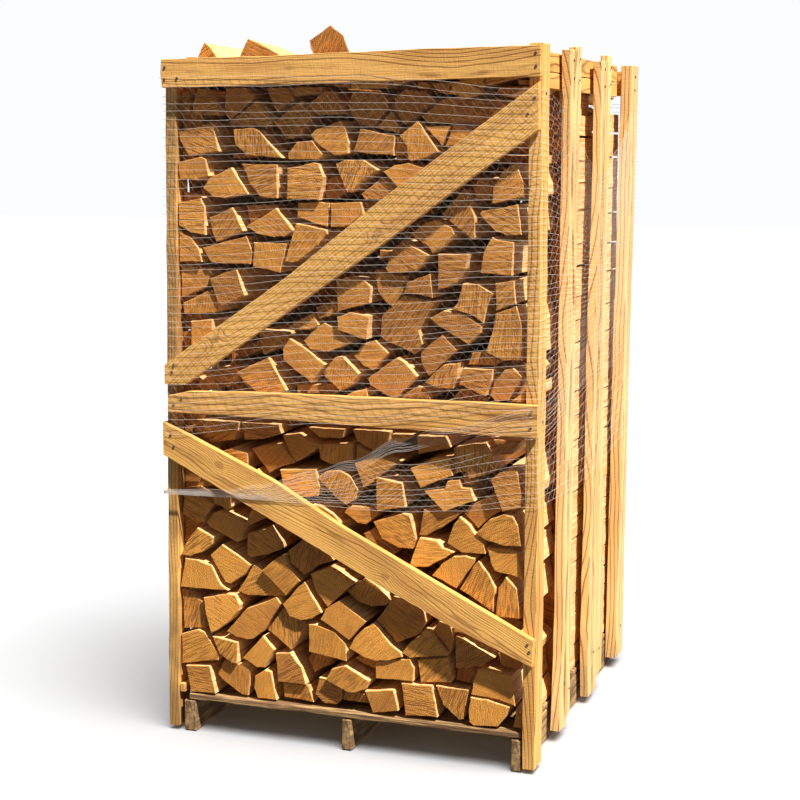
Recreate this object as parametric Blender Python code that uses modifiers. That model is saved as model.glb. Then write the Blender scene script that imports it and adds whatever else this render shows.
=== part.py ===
"""A slatted crate of split beech firewood, loaded in three rows and wrapped in stretch net.

Metres, +Z up. The origin is on the ground under the middle of the crate, the front faces -Y
and the right wall is at +X. Drawn dimensions below are in millimetres: x across the front,
y from the posts' front faces back into the crate, z up from the ground.
"""

from math import atan2

import bmesh
import bpy

MM = 0.001
MIDDLE_X = -8.5           # middle of the drawn width, which becomes X = 0
DEPTH = 1046.0            # over the posts, front to back
BOARD = 22.0              # thickness of the rails, braces and deck boards
GAP = 0.4                 # clearance kept between touching pieces
TOP = 1818.0              # top of the posts
RUNNER_TOP = 87.6
DECK_BOTTOM = 88.0
DECK_TOP = 107.0
INSIDE_LEFT = -498.0      # inner face of the left wall at the bottom
INSIDE_LEFT_TOP = -471.5  # and at the top, because that wall leans
INSIDE_RIGHT = 464.0
ROW_LENGTH = 330.0        # the logs are cut to 33 cm
ROW_FRONTS = (8.0, 358.5, 708.0)
CORE = (-454.4, 440.4, 125.4, 1742.4)   # x and z limits of the packed middle of a row
CORE_BITE = 2.0           # how far a log has to reach into that middle to be held by it
END_SINK = 38.0           # how far the log ends stand out of that middle
ROW_INSET = 6.0           # and how far its hidden sides stay behind the log ends
LOG_ROOT = 20.0           # length of a log end inside the middle
LOG_CLEAR = 1.0           # least gap between a log and the walls or the deck
LOG_STAGGER = 0.8         # neighbouring logs stop this much short of each other
MIRROR_X = -38.0          # a mirrored row swaps left and right about half of this
END_POINTS = 4            # corners that a log end keeps here
SMALLEST_END = 1400.0     # square millimetres: a smaller log end stays part of the packed middle

WOOD = (0.86, 0.66, 0.36)
WOOD_BARK = (0.55, 0.45, 0.33)
BEECH = (0.70, 0.46, 0.24)
NET_WHITE = (0.92, 0.93, 0.95)

# One line for each split log of a row: how far it is set back, then its end as x,z corners.
LOG_ENDS = """
0 -479,183 -410,188 -394,112 -467,109
4 -499,268 -445,285 -425,280 -384,226 -384,206 -499,186
10 -498,393 -474,392 -428,361 -424,290 -488,284
0 -424,376 -355,393 -330,391 -317,366 -321,350 -345,322 -385,290 -402,281 -417,330
0 -493,401 -475,481 -440,479 -399,467 -372,416 -350,403
5 -368,526 -402,495 -360,424 -345,421 -302,452 -286,476
12 -326,402 -297,392 -225,397 -192,401 -256,463 -279,477 -297,446
0 -253,465 -207,504 -188,508 -172,479 -141,447 -160,430 -184,404
4 -358,288 -299,357 -212,396 -199,380 -249,300 -282,275 -302,272 -330,276
0 -399,272 -325,262 -329,203 -345,204 -382,228
12 -370,205 -345,199 -302,198 -296,190 -296,160 -302,114 -320,115 -370,146 -389,165
6 -313,219 -253,286 -221,250 -249,199 -272,197
12 -240,303 -197,366 -152,335 -133,327 -174,254
0 -192,380 -148,430 -129,447 -82,367 -108,349 -142,341 -174,349
8 -218,240 -176,246 -144,210 -131,164 -211,163
18 -201,159 -127,158 -113,115 -198,120
8 -279,172 -250,191 -232,188 -216,112 -272,111 -282,140
4 -114,468 -63,489 -40,478 5,451 -30,419 -66,383 -100,425
22 -16,426 8,449 33,467 70,444 102,412 90,398 52,390 12,401
0 -85,349 -70,378 -33,404 43,355 -5,301
4 -120,331 -100,332 -45,317 -15,287 -14,242 -121,256
0 -3,280 12,310 38,337 62,352 72,345 110,300 138,281 142,270 100,256 68,252 38,259
16 66,357 112,424 158,423 195,392 199,362 176,326 160,320 122,302 88,340
6 68,248 138,262 161,265 172,242 170,206 68,204
0 -16,230 52,196 40,172 15,161 -8,159 -72,186 -55,216
14 -95,186 -76,184 -34,166 -36,130 -48,117 -80,117 -107,138
20 -24,156 14,158 34,147 46,129 -28,131
0 38,167 118,179 131,125 61,111
4 139,199 222,201 237,118 150,114
4 141,280 163,311 184,325 199,346 217,345 266,287 162,268
12 182,263 262,277 272,232 272,213 190,204
8 232,201 320,199 306,121 296,117 252,152
4 346,259 434,250 445,173 400,185 345,189 328,190 333,225
0 328,184 372,182 431,168 422,142 400,114 335,110 325,118 323,150
14 446,166 460,132 461,112 437,112
12 282,335 300,330 385,288 352,264 285,253
30 392,299 428,306 456,284 450,260 400,268
0 393,401 399,476 418,506 446,478 457,403
4 296,463 333,528 345,541 372,508 389,474 385,413
0 223,493 250,527 280,548 312,552 337,547 333,533 288,466
0 189,589 235,584 251,567 282,559 258,542 215,517 161,510 172,545
4 295,651 320,631 338,607 359,584 363,561 300,559 262,581 279,630
0 339,613 375,651 410,666 433,663 448,640 456,589 412,586 362,598
6 366,577 430,577 449,570 449,556 460,504 412,514 388,519 377,537
4 199,711 255,720 262,741 293,745 299,726 323,726 335,694 300,681 253,661
0 165,768 200,783 225,797 261,800 277,756 232,737 193,719
4 278,826 325,837 357,840 380,806 387,772 336,755 318,751 312,768 284,763
0 377,752 400,772 443,782 458,708 454,687 408,673 388,722
18 302,659 316,677 372,710 386,700 401,672 372,653 339,622
12 196,661 292,657 278,641 243,616 205,594 185,594
0 72,740 141,727 150,665 73,649
6 62,620 140,647 160,645 177,582 167,557 130,557 84,578
14 32,585 60,601 83,574 119,539 90,531 45,560
10 -19,638 -8,657 60,657 75,641 40,611 18,613
0 13,770 45,787 72,793 127,776 85,746 62,724 36,709
4 -92,725 -68,744 -30,748 -1,735 21,700 12,676 -12,660 -45,681
4 -197,740 -97,748 -86,702 -93,677 -155,668 -170,667 -188,692
0 -121,655 -82,652 -50,634 -27,611 -40,580 -105,600
10 -179,524 -138,556 -95,559 -54,506 -98,491 -133,462 -172,490
0 -438,567 -392,545 -397,526 -425,502 -460,488 -495,489 -470,528
12 -480,655 -440,655 -399,633 -432,580 -445,577 -493,601
14 -405,655 -349,655 -351,625 -357,620 -392,634
10 -415,583 -396,609 -372,616 -307,592 -312,542 -326,535 -408,572
12 -304,585 -285,623 -262,627 -240,608 -294,581
10 -296,560 -250,573 -229,585 -204,540 -201,525 -240,508 -287,497 -297,503
0 -375,774 -334,789 -289,778 -290,731 -340,736
12 -278,790 -245,801 -199,805 -171,776 -162,758 -205,744 -232,727 -257,760
8 -283,724 -262,738 -232,708 -252,698
14 -443,857 -321,857 -331,810 -400,798 -445,822
14 -311,857 -206,857 -202,832 -245,818 -302,812
16 -194,829 -150,836 -99,812 -100,801 -154,763 -171,780
0 -317,992 -226,1034 -175,950 -222,938 -256,939 -293,966
16 -388,986 -375,999 -308,1008 -350,949 -368,949
16 -453,943 -402,982 -375,944
30 -340,1041 -262,1074 -258,1051 -310,1026
12 -254,1103 -191,1097 -182,1075 -212,1060 -243,1040 -249,1050
6 -449,1121 -389,1127 -386,1062 -449,1057
12 -474,1167 -403,1201 -391,1199 -367,1158 -383,1144 -472,1139
4 -391,1233 -350,1250 -314,1259 -292,1193 -361,1162 -371,1174
14 -482,1264 -397,1261 -398,1236 -409,1210 -477,1181
4 -496,1356 -472,1351 -447,1342 -421,1307 -413,1277 -495,1275
2 -482,1431 -414,1441 -403,1420 -401,1347 -440,1352 -496,1372 -488,1412
4 -389,1392 -325,1419 -294,1359 -350,1335 -370,1330 -382,1355
0 -282,1371 -200,1419 -154,1363 -175,1347 -205,1345 -251,1352
4 -410,1314 -340,1332 -284,1346 -270,1305 -275,1274 -345,1273 -387,1277
4 -263,1331 -174,1328 -193,1254 -267,1268
0 -143,1381 -61,1365 -59,1356 -84,1328 -140,1285 -155,1281 -176,1284 -156,1345
10 -142,1432 -82,1435 -57,1433 -61,1374 -82,1378 -145,1397
6 -51,1433 29,1436 36,1406 0,1379 -20,1373 -51,1373
30 -294,1424 -206,1425 -284,1377 -290,1395
4 -473,1612 -379,1635 -359,1562 -445,1550 -471,1592
4 -497,1534 -413,1548 -398,1542 -390,1499 -425,1489 -470,1490 -497,1503
2 -385,1495 -325,1521 -278,1454 -345,1442 -378,1446 -404,1468
4 -295,1530 -197,1529 -198,1444 -225,1444 -247,1449 -274,1480
0 -167,1519 -95,1534 -81,1530 -69,1498 -81,1440 -169,1442
4 -316,1617 -263,1621 -247,1614 -183,1545 -282,1553 -312,1580
4 -166,1556 -140,1586 -101,1589 -73,1554 -86,1541 -164,1542
16 -207,1634 -178,1659 -134,1688 -116,1671 -109,1650 -141,1604 -177,1594
14 -331,1638 -256,1689 -227,1655 -219,1638 -232,1625 -320,1627
12 -344,1680 -340,1721 -286,1721 -265,1696 -329,1642 -342,1656
14 -439,1654 -434,1690 -421,1721 -399,1721 -364,1682 -354,1654
20 -485,1714 -453,1714 -448,1680 -454,1656 -485,1656
20 -230,1721 -173,1721 -155,1695 -202,1662 -221,1698
12 -164,1721 -74,1721 -77,1705 -140,1702 -147,1699
8 -113,1674 -97,1689 -68,1711 -47,1711 -23,1672 -21,1654 -88,1654
6 -104,1602 -92,1615 -23,1638 -9,1612 -2,1582 -4,1558 -40,1552 -79,1575
14 -6,1672 5,1708 72,1710 95,1689 96,1665 62,1624 42,1622 6,1647
6 11,1562 28,1617 62,1612 120,1600 118,1552 60,1555
2 134,1600 153,1614 183,1636 234,1562 205,1547 165,1538 156,1546 152,1575
14 123,1598 131,1596 149,1574 149,1552 121,1552
14 67,1619 107,1659 130,1612 127,1607
22 110,1668 117,1694 140,1713 184,1709 221,1685 170,1648 150,1629 139,1628
18 188,1648 232,1683 250,1691 270,1692 270,1631 206,1630
8 198,1623 264,1624 242,1577
12 269,1623 277,1627 312,1609 290,1581 251,1574
2 263,1702 273,1730 308,1730 342,1708 333,1697 296,1686 284,1700
6 181,1729 203,1729 212,1715 183,1714
12 215,1728 265,1729 255,1705 230,1705
22 291,1680 333,1689 379,1690 395,1674 356,1646 320,1652
20 376,1702 386,1716 448,1717 428,1703 401,1693
26 430,1732 470,1732 453,1721 432,1721
0 -34,1530 -8,1541 38,1541 79,1516 34,1489 7,1460 -5,1460
4 91,1512 120,1528 157,1534 195,1522 163,1482 128,1474
12 29,1456 85,1496 118,1470 80,1442 40,1442
34 -72,1492 -42,1500 -22,1460 -40,1444 -75,1444
4 244,1408 297,1468 312,1454 329,1400 329,1352 324,1348 290,1373
6 162,1358 200,1386 228,1395 269,1376 277,1360 247,1330 220,1312 205,1332
0 98,1272 117,1319 143,1342 212,1307 194,1284 169,1264 106,1261
0 236,1311 315,1311 307,1275 284,1241 262,1229 236,1222
0 375,1355 387,1348 430,1343 426,1262 347,1267 354,1318
0 349,1418 438,1435 449,1362 412,1360 384,1368 343,1411
2 375,1468 386,1495 403,1517 433,1535 456,1480 457,1454 374,1436
26 319,1477 335,1498 367,1480 361,1442 326,1442
6 145,1212 152,1237 213,1261 221,1201
12 64,1265 85,1261 143,1252 140,1213 113,1177 93,1188 73,1215
0 -34,1242 0,1246 42,1241 58,1224 54,1184 20,1174 -31,1160
0 -34,1146 0,1159 54,1151 49,1122 47,1092 34,1092 -31,1113
8 -94,1169 -48,1186 -39,1182 -35,1153 -87,1139
4 -178,1109 -150,1129 -101,1153 -86,1123 -105,1111 -163,1107
8 -129,1080 -98,1114 -72,1128 -41,1116 0,1082 -30,1066 -60,1055 -111,1060
0 -184,1059 -165,1086 -115,1057 -68,1022 -105,973 -152,1006 -183,1030
0 -71,1002 -41,1042 -18,1044 24,1003 7,976 -25,957 -67,990
2 51,993 102,1031 128,1048 147,1037 180,1003 142,963 128,945 99,951 56,975
14 7,1046 30,1078 65,1088 99,1057 58,1012 33,1022
14 78,1102 83,1149 104,1172 142,1204 221,1192 180,1118 190,1084 169,1058 87,1091
6 214,1150 248,1170 298,1165 347,1137 344,1118 314,1088 285,1106 237,1131
4 274,1175 287,1192 299,1239 338,1238 378,1216 360,1182 352,1144 318,1164
2 383,1242 431,1250 436,1194 386,1175
2 385,1168 437,1188 452,1138 456,1054 406,1052 361,1071 377,1120
0 302,1029 379,1029 375,1000 360,962 320,977 292,987
18 321,1066 345,1070 393,1050 379,1037 311,1037
12 187,1060 212,1084 245,1109 282,1073 245,1038 208,1004 189,1035
6 201,988 224,1012 250,1035 290,1041 284,998 275,976 235,975
0 374,966 384,1000 409,1029 431,1034 454,1014 445,995 420,955 388,948
14 264,946 296,977 361,950 350,946
12 -149,965 -52,971 -51,944 -149,944
4 -12,944 5,954 46,966 48,944
14 137,944 149,959 180,977 199,974 213,946
2 425,950 460,980 460,950
16 -121,854 -22,854 -31,831 -90,831
14 3,855 102,855 96,832 87,815 66,802 15,827
12 -91,812 1,818 3,773 -30,768 -58,762 -87,774
16 13,816 58,797 30,782 13,780
16 107,849 164,851 140,831 109,820
16 176,848 250,851 261,822 181,803
24 376,849 449,851 425,816 396,813
20 274,361 311,348 305,344 276,344
16 220,345 237,370 267,361 274,330 269,293
20 299,759 309,761 316,746 330,741 325,731 301,731
40 -137,228 -118,249 -62,239 -72,215 -96,205 -119,190
38 -1,244 20,255 62,247 63,213 10,235
40 279,245 338,250 321,207 277,213
2 -476,1726 -475,1768 -432,1776 -388,1760 -392,1728
0 -384,1728 -382,1762 -300,1770 -283,1740 -300,1727
5 -276,1728 -290,1770 -240,1784 -196,1770 -180,1727
0 -172,1728 -186,1774 -120,1776 -92,1750 -96,1728
4 -88,1730 -86,1752 -62,1774 -10,1776 0,1742 -20,1720
0 8,1717 6,1768 40,1782 92,1776 108,1742 98,1716
6 116,1722 112,1772 168,1792 178,1740
0 186,1737 182,1790 262,1796 270,1740
3 278,1738 272,1790 330,1802 352,1760 345,1714
0 358,1720 362,1788 448,1796 461,1740
"""

# Logs that lie loose on the load: name, distance from the front, length, how far the far end
# is turned to the right, end as x,z corners.
LOOSE_LOGS = (
    ("loose_log_left", 30, 326, -30, "-422,1779 -423,1802 -403,1838 -386,1824 -366,1796 -370,1783"),
    ("loose_log_middle", 28, 328, -60, "-300,1790 -304,1802 -281,1845 -242,1828 -195,1805 -190,1787"),
    ("loose_log_square", 26, 318, -129, "-111,1836 -54,1873 -20,1847 -3,1806 -20,1784 -80,1786"),
)

# Walls: name, thickness, how far the top leans outwards, outline as y,z corners.
RIGHT_WALL = (
    ("post_front", 34, 0, "0,12 2,1818 70,1818 68,900 72,12"),
    (
        "upright_front_wide", 25, 4,
        "250,31 268,306 262,1079 267,1691 252,1815 332,1819 351,1488 350,1070 329,672 326,25",
    ),
    (
        "upright_front_narrow", 25, 4,
        "327,40 330,672 351,1070 352,1488 333,1826 387,1830 369,1100 380,275 381,44",
    ),
    (
        "upright_rear_wide", 25, 8,
        "586,20 567,223 579,622 570,1045 601,1483 587,1802 673,1806 676,1482 663,606 678,192 "
        "676,24",
    ),
    (
        "upright_rear_narrow", 25, 8,
        "680,40 679,192 664.5,606 677,1482 674,1822 722,1822 709,1030 741,591 765,168 763,57",
    ),
    (
        "post_back", 34, 14,
        "940,32 944,551 937,1005 953,1477 951,1807 1045,1808 1040,1476 1026,996 1033,533 1038,29",
    ),
)
WALL_RIGHT = 500.0        # outer face of the right wall at the bottom
WALL_LEFT = -531.0        # and of the left wall, which stands further out there
LEFT_POST_TOP = 1797.0    # the left front post ends level with the top rail
LEFT_WALL_LEAN = 27.0     # how far further out the left wall is at the bottom
LEFT_THICK = 31.0         # the left posts are sawn a little thinner
SET_IN = 3.0              # the narrow board of a pair sits this much inside the wide one

# Front boards: name, outline as x,z corners. The back has the same boards, mirrored.
FRONT_BOARDS = (
    ("rail_top", "-503,1796 -200,1799 199,1808 500,1812 500,1737 199,1736 -502,1722 -506,1760"),
    (
        "rail_middle",
        "-503,925 -443,940 -293,945 -70,948 200,949 503,951 503,867 200,870 -293,879 -503,880",
    ),
    (
        "brace_upper",
        "-512,1006 -472,1034 -160,1246 95,1443 497,1726 498,1613 352,1514 94,1330 -452,956 "
        "-512,955",
    ),
    (
        "brace_lower",
        "-520,855 -206,717 0,602 93,558 500,357 496,288 284,373 93,461 -308,661 -520,766",
    ),
)
BACK_MIRROR_X = -28.0     # the back's boards swap left and right about half of this

RUNNERS = (("runner_left", -487, -450), ("runner_middle", -28, 4), ("runner_right", 434, 465))
BASE_INSET = 4.0          # the runners and the deck stop this far inside the posts' faces
DECK_BOARDS = 6
DECK_GAP = 16.0
DECK_X = (-472.0, 464.0)
SIDE_RAIL = (("side_rail_lower", 1716, 1756), ("side_rail_upper", 1757, 1806))
SIDE_RAIL_THICK = 22.0
SIDE_RAIL_LEFT = -479.0   # outer faces of the side rails, against the uprights
SIDE_RAIL_RIGHT = 473.5
SIDE_RAIL_Y = (74.0, 936.0)
SIDE_RAIL_CLEAR = 1714.5  # logs above this height lie between the side rails
STRIP = (-497.0, -481.0, 108.0, 133.0)   # x and z limits of the strip at the left wall's foot
STRIP_INSET = 3.0

NET_OUT = 5.0             # the net stands this far outside the rails and posts
NET_TOP = 1752.0
NET_BOTTOM = 690.0
NET_COLUMNS = 20
NET_ROWS = 5
NET_THREAD = 2.4


def corners(text):
    """Pairs of numbers from an outline's text."""
    return [tuple(float(number) for number in pair.split(",")) for pair in text.split()]


def place(x, y, z):
    """A drawn point, in millimetres, as a point of the model in metres."""
    return ((x - MIDDLE_X) * MM, (y - DEPTH / 2) * MM, z * MM)


def material(name, colour, roughness):
    """A plain material of one colour."""
    made = bpy.data.materials.new(name)
    made.use_nodes = True
    shader = made.node_tree.nodes["Principled BSDF"]
    shader.inputs["Base Color"].default_value = (*colour, 1.0)
    shader.inputs["Roughness"].default_value = roughness
    shader.inputs["Metallic"].default_value = 0.0
    return made


def add_object(name, bm, dressed, collection):
    """A new object from a bmesh, with its faces turned outwards."""
    bmesh.ops.recalc_face_normals(bm, faces=bm.faces)
    mesh = bpy.data.meshes.new(name)
    bm.to_mesh(mesh)
    bm.free()
    mesh.materials.append(dressed)
    made = bpy.data.objects.new(name, mesh)
    collection.objects.link(made)
    return made


def extrude_outline(bm, points, along):
    """Adds the prism swept from an outline by a vector."""
    face = bm.faces.new([bm.verts.new(point) for point in points])
    swept = bmesh.ops.extrude_face_region(bm, geom=[face])
    moved = [item for item in swept["geom"] if isinstance(item, bmesh.types.BMVert)]
    bmesh.ops.translate(bm, verts=moved, vec=along)


def front_board(name, outline, y, mirrored, dressed, collection):
    """A rail or brace nailed flat across the front or the back."""
    bm = bmesh.new()
    turned = [(BACK_MIRROR_X - x if mirrored else x, z) for x, z in outline]
    extrude_outline(bm, [place(x, y, z) for x, z in turned], (0, BOARD * MM, 0))
    return add_object(name, bm, dressed, collection)


def wall_board(name, outline, outer, thick, side, lean, dressed, collection):
    """An upright of a side wall. side is 1 on the right and -1 on the left."""
    bm = bmesh.new()
    points = [place(outer + side * lean * z / TOP, y, z) for y, z in outline]
    extrude_outline(bm, points, (-side * thick * MM, 0, 0))
    return add_object(name, bm, dressed, collection)


def box(name, low, high, dressed, collection):
    """A straight sawn piece between two drawn corners."""
    bm = bmesh.new()
    bmesh.ops.create_cube(bm, size=1.0)
    low, high = place(*low), place(*high)
    bmesh.ops.scale(bm, verts=bm.verts, vec=[b - a for a, b in zip(low, high)])
    bmesh.ops.translate(bm, verts=bm.verts, vec=[(a + b) / 2 for a, b in zip(low, high)])
    return add_object(name, bm, dressed, collection)


def area(outline):
    """The area inside an outline."""
    ahead = outline[1:] + outline[:1]
    return abs(sum(a * d - c * b for (a, b), (c, d) in zip(outline, ahead))) / 2


def coarse(outline, keep):
    """The outline with its least telling corners left out."""
    outline = list(outline)
    while len(outline) > keep:
        losses = [
            area([outline[i - 1], outline[i], outline[(i + 1) % len(outline)]])
            for i in range(len(outline))
        ]
        outline.pop(losses.index(min(losses)))
    return outline


def inside_left(z):
    """How far left a log may reach at a height: the strip, the leaning wall or its top rail."""
    if z < STRIP[3] + 3:
        return STRIP[1]
    if z > SIDE_RAIL_CLEAR:
        return SIDE_RAIL_LEFT + SIDE_RAIL_THICK
    return INSIDE_LEFT + (INSIDE_LEFT_TOP - INSIDE_LEFT) * z / TOP


def inside_right(z):
    """How far right a log may reach at a height: the wall or its top rail."""
    if z > SIDE_RAIL_CLEAR:
        return SIDE_RAIL_RIGHT - SIDE_RAIL_THICK
    return INSIDE_RIGHT


def row_outlines(mirrored):
    """Set-back and end outline of each log of a row, kept between the walls and above the deck."""
    rows = []
    for index, line in enumerate(LOG_ENDS.strip().splitlines()):
        back, outline = line.split(" ", 1)
        points = coarse(corners(outline), END_POINTS)
        if mirrored:
            points = [(MIRROR_X - x, z) for x, z in points]
        clear = LOG_CLEAR + LOG_STAGGER * (index % 4)
        points = [
            (
                min(max(x, inside_left(z) + clear), inside_right(z) - clear),
                max(z, DECK_TOP + clear),
            )
            for x, z in points
        ]
        rows.append((float(back), points))
    return rows


def reaches_out(outline):
    """Whether a log shows on a side, the top or the bottom of its row."""
    low_x, high_x, low_z, high_z = CORE
    return any(not (low_x < x < high_x and low_z < z < high_z) for x, z in outline)


def held(outline):
    """Whether a log reaches into the packed middle."""
    low_x, high_x, low_z, high_z = CORE
    xs, zs = zip(*outline)
    across = min(max(xs), high_x) - max(min(xs), low_x)
    upright = min(max(zs), high_z) - max(min(zs), low_z)
    return min(across, upright) > CORE_BITE


def firewood_row(name, front, mirrored, face, dressed, collection, helpers):
    """One row of stacked logs as one solid: the packed middle and the logs that stand out of it.

    face is "front" or "back" where that side of the row shows its log ends, or "none".
    """
    back = front + ROW_LENGTH
    low_x, high_x, low_z, high_z = CORE
    core_front = front + (END_SINK if face == "front" else ROW_INSET)
    core_back = back - (END_SINK if face == "back" else ROW_INSET)
    low, high = (low_x, core_front, low_z), (high_x, core_back, high_z)
    row = box(name, low, high, dressed, collection)
    bm = bmesh.new()
    for set_back, outline in row_outlines(mirrored):
        starts = front + (set_back if face == "front" else 0.0)
        ends = back - (set_back if face == "back" else 0.0)
        if not reaches_out(outline):
            if face == "front":
                ends = core_front + LOG_ROOT
            elif face == "back":
                starts = core_back - LOG_ROOT
        shown = reaches_out(outline) or (face != "none" and area(outline) > SMALLEST_END)
        if shown and held(outline) and set_back < END_SINK - 1:
            points = [place(x, starts, z) for x, z in outline]
            extrude_outline(bm, points, (0, (ends - starts) * MM, 0))
    logs = add_object(name + "_logs", bm, dressed, helpers)
    logs.hide_render = True
    logs.display_type = "WIRE"
    union = row.modifiers.new("logs", "BOOLEAN")
    union.operation = "UNION"
    union.object = logs
    union.use_self = True
    return row


def net(dressed, collection):
    """The stretch net: a ring of mesh drawn round the crate, outside the rails and the walls."""
    lean = max(wall[2] for wall in RIGHT_WALL)
    left, right = WALL_LEFT - NET_OUT, WALL_RIGHT + lean + NET_OUT
    front, back = -BOARD - NET_OUT, DEPTH + BOARD + NET_OUT
    sides = [(left, front), (right, front), (right, back), (left, back)]
    lengths = [right - left, back - front, right - left, back - front]
    share = NET_COLUMNS // 4
    ring = []
    for index, ((x, y), length) in enumerate(zip(sides, lengths)):
        next_x, next_y = sides[(index + 1) % 4]
        for step in range(share):
            part = step / share
            ring.append((x + (next_x - x) * part, y + (next_y - y) * part))
    bm = bmesh.new()
    bmesh.ops.create_grid(bm, x_segments=NET_COLUMNS, y_segments=NET_ROWS, size=0.5)
    for vert in bm.verts:
        column = round((vert.co.x + 0.5) * NET_COLUMNS) % NET_COLUMNS
        height = NET_BOTTOM + (NET_TOP - NET_BOTTOM) * (vert.co.y + 0.5)
        vert.co = place(*ring[column], height)
    bmesh.ops.remove_doubles(bm, verts=bm.verts, dist=0.0001)
    made = add_object("stretch_net", bm, dressed, collection)
    wires = made.modifiers.new("threads", "WIREFRAME")
    wires.thickness = NET_THREAD * MM
    wires.use_even_offset = False
    wires.use_boundary = True
    return made


def main():
    for old in list(bpy.data.objects):
        bpy.data.objects.remove(old, do_unlink=True)
    crate = bpy.data.collections.new("crate_of_beech_firewood")
    helpers = bpy.data.collections.new("helpers")
    bpy.context.scene.collection.children.link(crate)
    bpy.context.scene.collection.children.link(helpers)

    sawn = material("sawn_softwood", WOOD, 0.75)
    barky = material("deck_softwood", WOOD_BARK, 0.85)
    beech = material("split_beech", BEECH, 0.8)
    white = material("net_thread", NET_WHITE, 0.4)

    for name, left, right in RUNNERS:
        low, high = (left, BASE_INSET, 0), (right, DEPTH - BASE_INSET, RUNNER_TOP)
        box(name, low, high, barky, crate)
    pitch = (DEPTH - 2 * BASE_INSET + DECK_GAP) / DECK_BOARDS
    for index in range(DECK_BOARDS):
        start = BASE_INSET + index * pitch
        low = (DECK_X[0], start, DECK_BOTTOM)
        high = (DECK_X[1], start + pitch - DECK_GAP, DECK_TOP)
        box(f"deck_board_{index + 1}", low, high, barky, crate)

    for name, thick, lean, outline in RIGHT_WALL:
        inset = SET_IN if "narrow" in name else 0.0
        outline = corners(outline)
        outer, thick = WALL_RIGHT - inset, thick - inset
        wall_board(name + "_right", outline, outer, thick, 1, lean, sawn, crate)
        outer, thick = WALL_LEFT + inset, min(thick, LEFT_THICK)
        if name == "post_front":
            outline = [(y, min(z, LEFT_POST_TOP)) for y, z in outline]
        wall_board(name + "_left", outline, outer, thick, -1, -LEFT_WALL_LEAN, sawn, crate)

    for name, outline in FRONT_BOARDS:
        front_board(name + "_front", corners(outline), -BOARD - GAP, False, sawn, crate)
        front_board(name + "_back", corners(outline), DEPTH + GAP, True, sawn, crate)

    left, right = SIDE_RAIL_LEFT, SIDE_RAIL_RIGHT
    for name, low, high in SIDE_RAIL:
        front, back = SIDE_RAIL_Y
        inner = right - SIDE_RAIL_THICK
        box(name + "_right", (inner, front, low), (right, back, high), sawn, crate)
        inner = left + SIDE_RAIL_THICK
        box(name + "_left", (left, front, low), (inner, back, high), sawn, crate)
    left, right, low, high = STRIP
    low, high = (left, STRIP_INSET, low), (right, DEPTH - STRIP_INSET, high)
    box("foot_strip", low, high, sawn, crate)

    names = ("firewood_row_front", "firewood_row_middle", "firewood_row_back")
    for index, (name, front) in enumerate(zip(names, ROW_FRONTS)):
        face = ("front", "none", "back")[index]
        firewood_row(name, front, index == 1, face, beech, crate, helpers)
    for name, front, length, turned, outline in LOOSE_LOGS:
        bm = bmesh.new()
        points = [place(x, front, z) for x, z in corners(outline)]
        extrude_outline(bm, points, (turned * MM, length * MM, 0))
        add_object(name, bm, beech, crate)
    net(white, crate)


if __name__ == "__main__":
    main()
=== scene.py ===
"""Looks of an upright slatted crate packed with split beech firewood and wrapped in stretch net.

The frame gives every board, row and loose log its place. Each board is a copy of its frame node
with worn edges and grain that follows the board. The rows are made log by log from their drawn
ends, and the net is knitted thread by thread round the crate.
"""

import logging
import math
import random
from collections.abc import Iterable, Sequence
from dataclasses import dataclass, field
from enum import Enum

import bpy
import numpy as np
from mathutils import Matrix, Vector


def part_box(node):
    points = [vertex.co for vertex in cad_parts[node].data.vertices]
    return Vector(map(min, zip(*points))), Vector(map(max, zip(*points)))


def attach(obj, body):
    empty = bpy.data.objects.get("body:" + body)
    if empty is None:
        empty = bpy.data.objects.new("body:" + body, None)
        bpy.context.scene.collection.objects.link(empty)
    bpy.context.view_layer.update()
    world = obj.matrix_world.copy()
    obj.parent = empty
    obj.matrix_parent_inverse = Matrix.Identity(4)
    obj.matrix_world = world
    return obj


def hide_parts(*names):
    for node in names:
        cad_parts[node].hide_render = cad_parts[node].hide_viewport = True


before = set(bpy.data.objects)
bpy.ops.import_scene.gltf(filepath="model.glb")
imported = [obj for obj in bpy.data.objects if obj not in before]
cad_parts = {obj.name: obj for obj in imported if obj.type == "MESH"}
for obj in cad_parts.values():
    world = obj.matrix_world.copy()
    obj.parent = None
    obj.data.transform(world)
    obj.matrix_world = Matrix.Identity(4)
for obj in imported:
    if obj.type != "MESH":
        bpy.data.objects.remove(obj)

log = logging.getLogger("firewood_crate")

Point = tuple[float, float]
Colour = tuple[float, float, float]

MM = 0.001
MIDDLE_X = -8.5           # middle of the drawn width, which is X = 0 in the frame
DEPTH = 1046.0            # over the posts, front to back
MIRROR_X = -38.0          # the middle row swaps left and right about half of this
DECK_TOP = 107.0
STRIP_TOP = 136.0
STRIP_INSIDE = -480.0
WALL_LEFT_FOOT = -498.0   # inner face of the left wall at the bottom
WALL_LEFT_LEAN = 26.5     # and how far in it leans by the posts' tops
WALL_RIGHT = 464.0
POST_TOP = 1818.0
SIDE_RAIL_FOOT = 1714.5
SIDE_RAIL_LEFT = -457.0   # inner faces of the side rails
SIDE_RAIL_RIGHT = 451.5
BACK_MIRROR_X = -28.0     # a place on the back and its twin on the front add up to this
FRONT_ROW, MIDDLE_ROW, BACK_ROW = 8.0, 358.5, 708.0   # where the rows begin, behind the posts
LOG_LENGTH = 330.0

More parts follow.
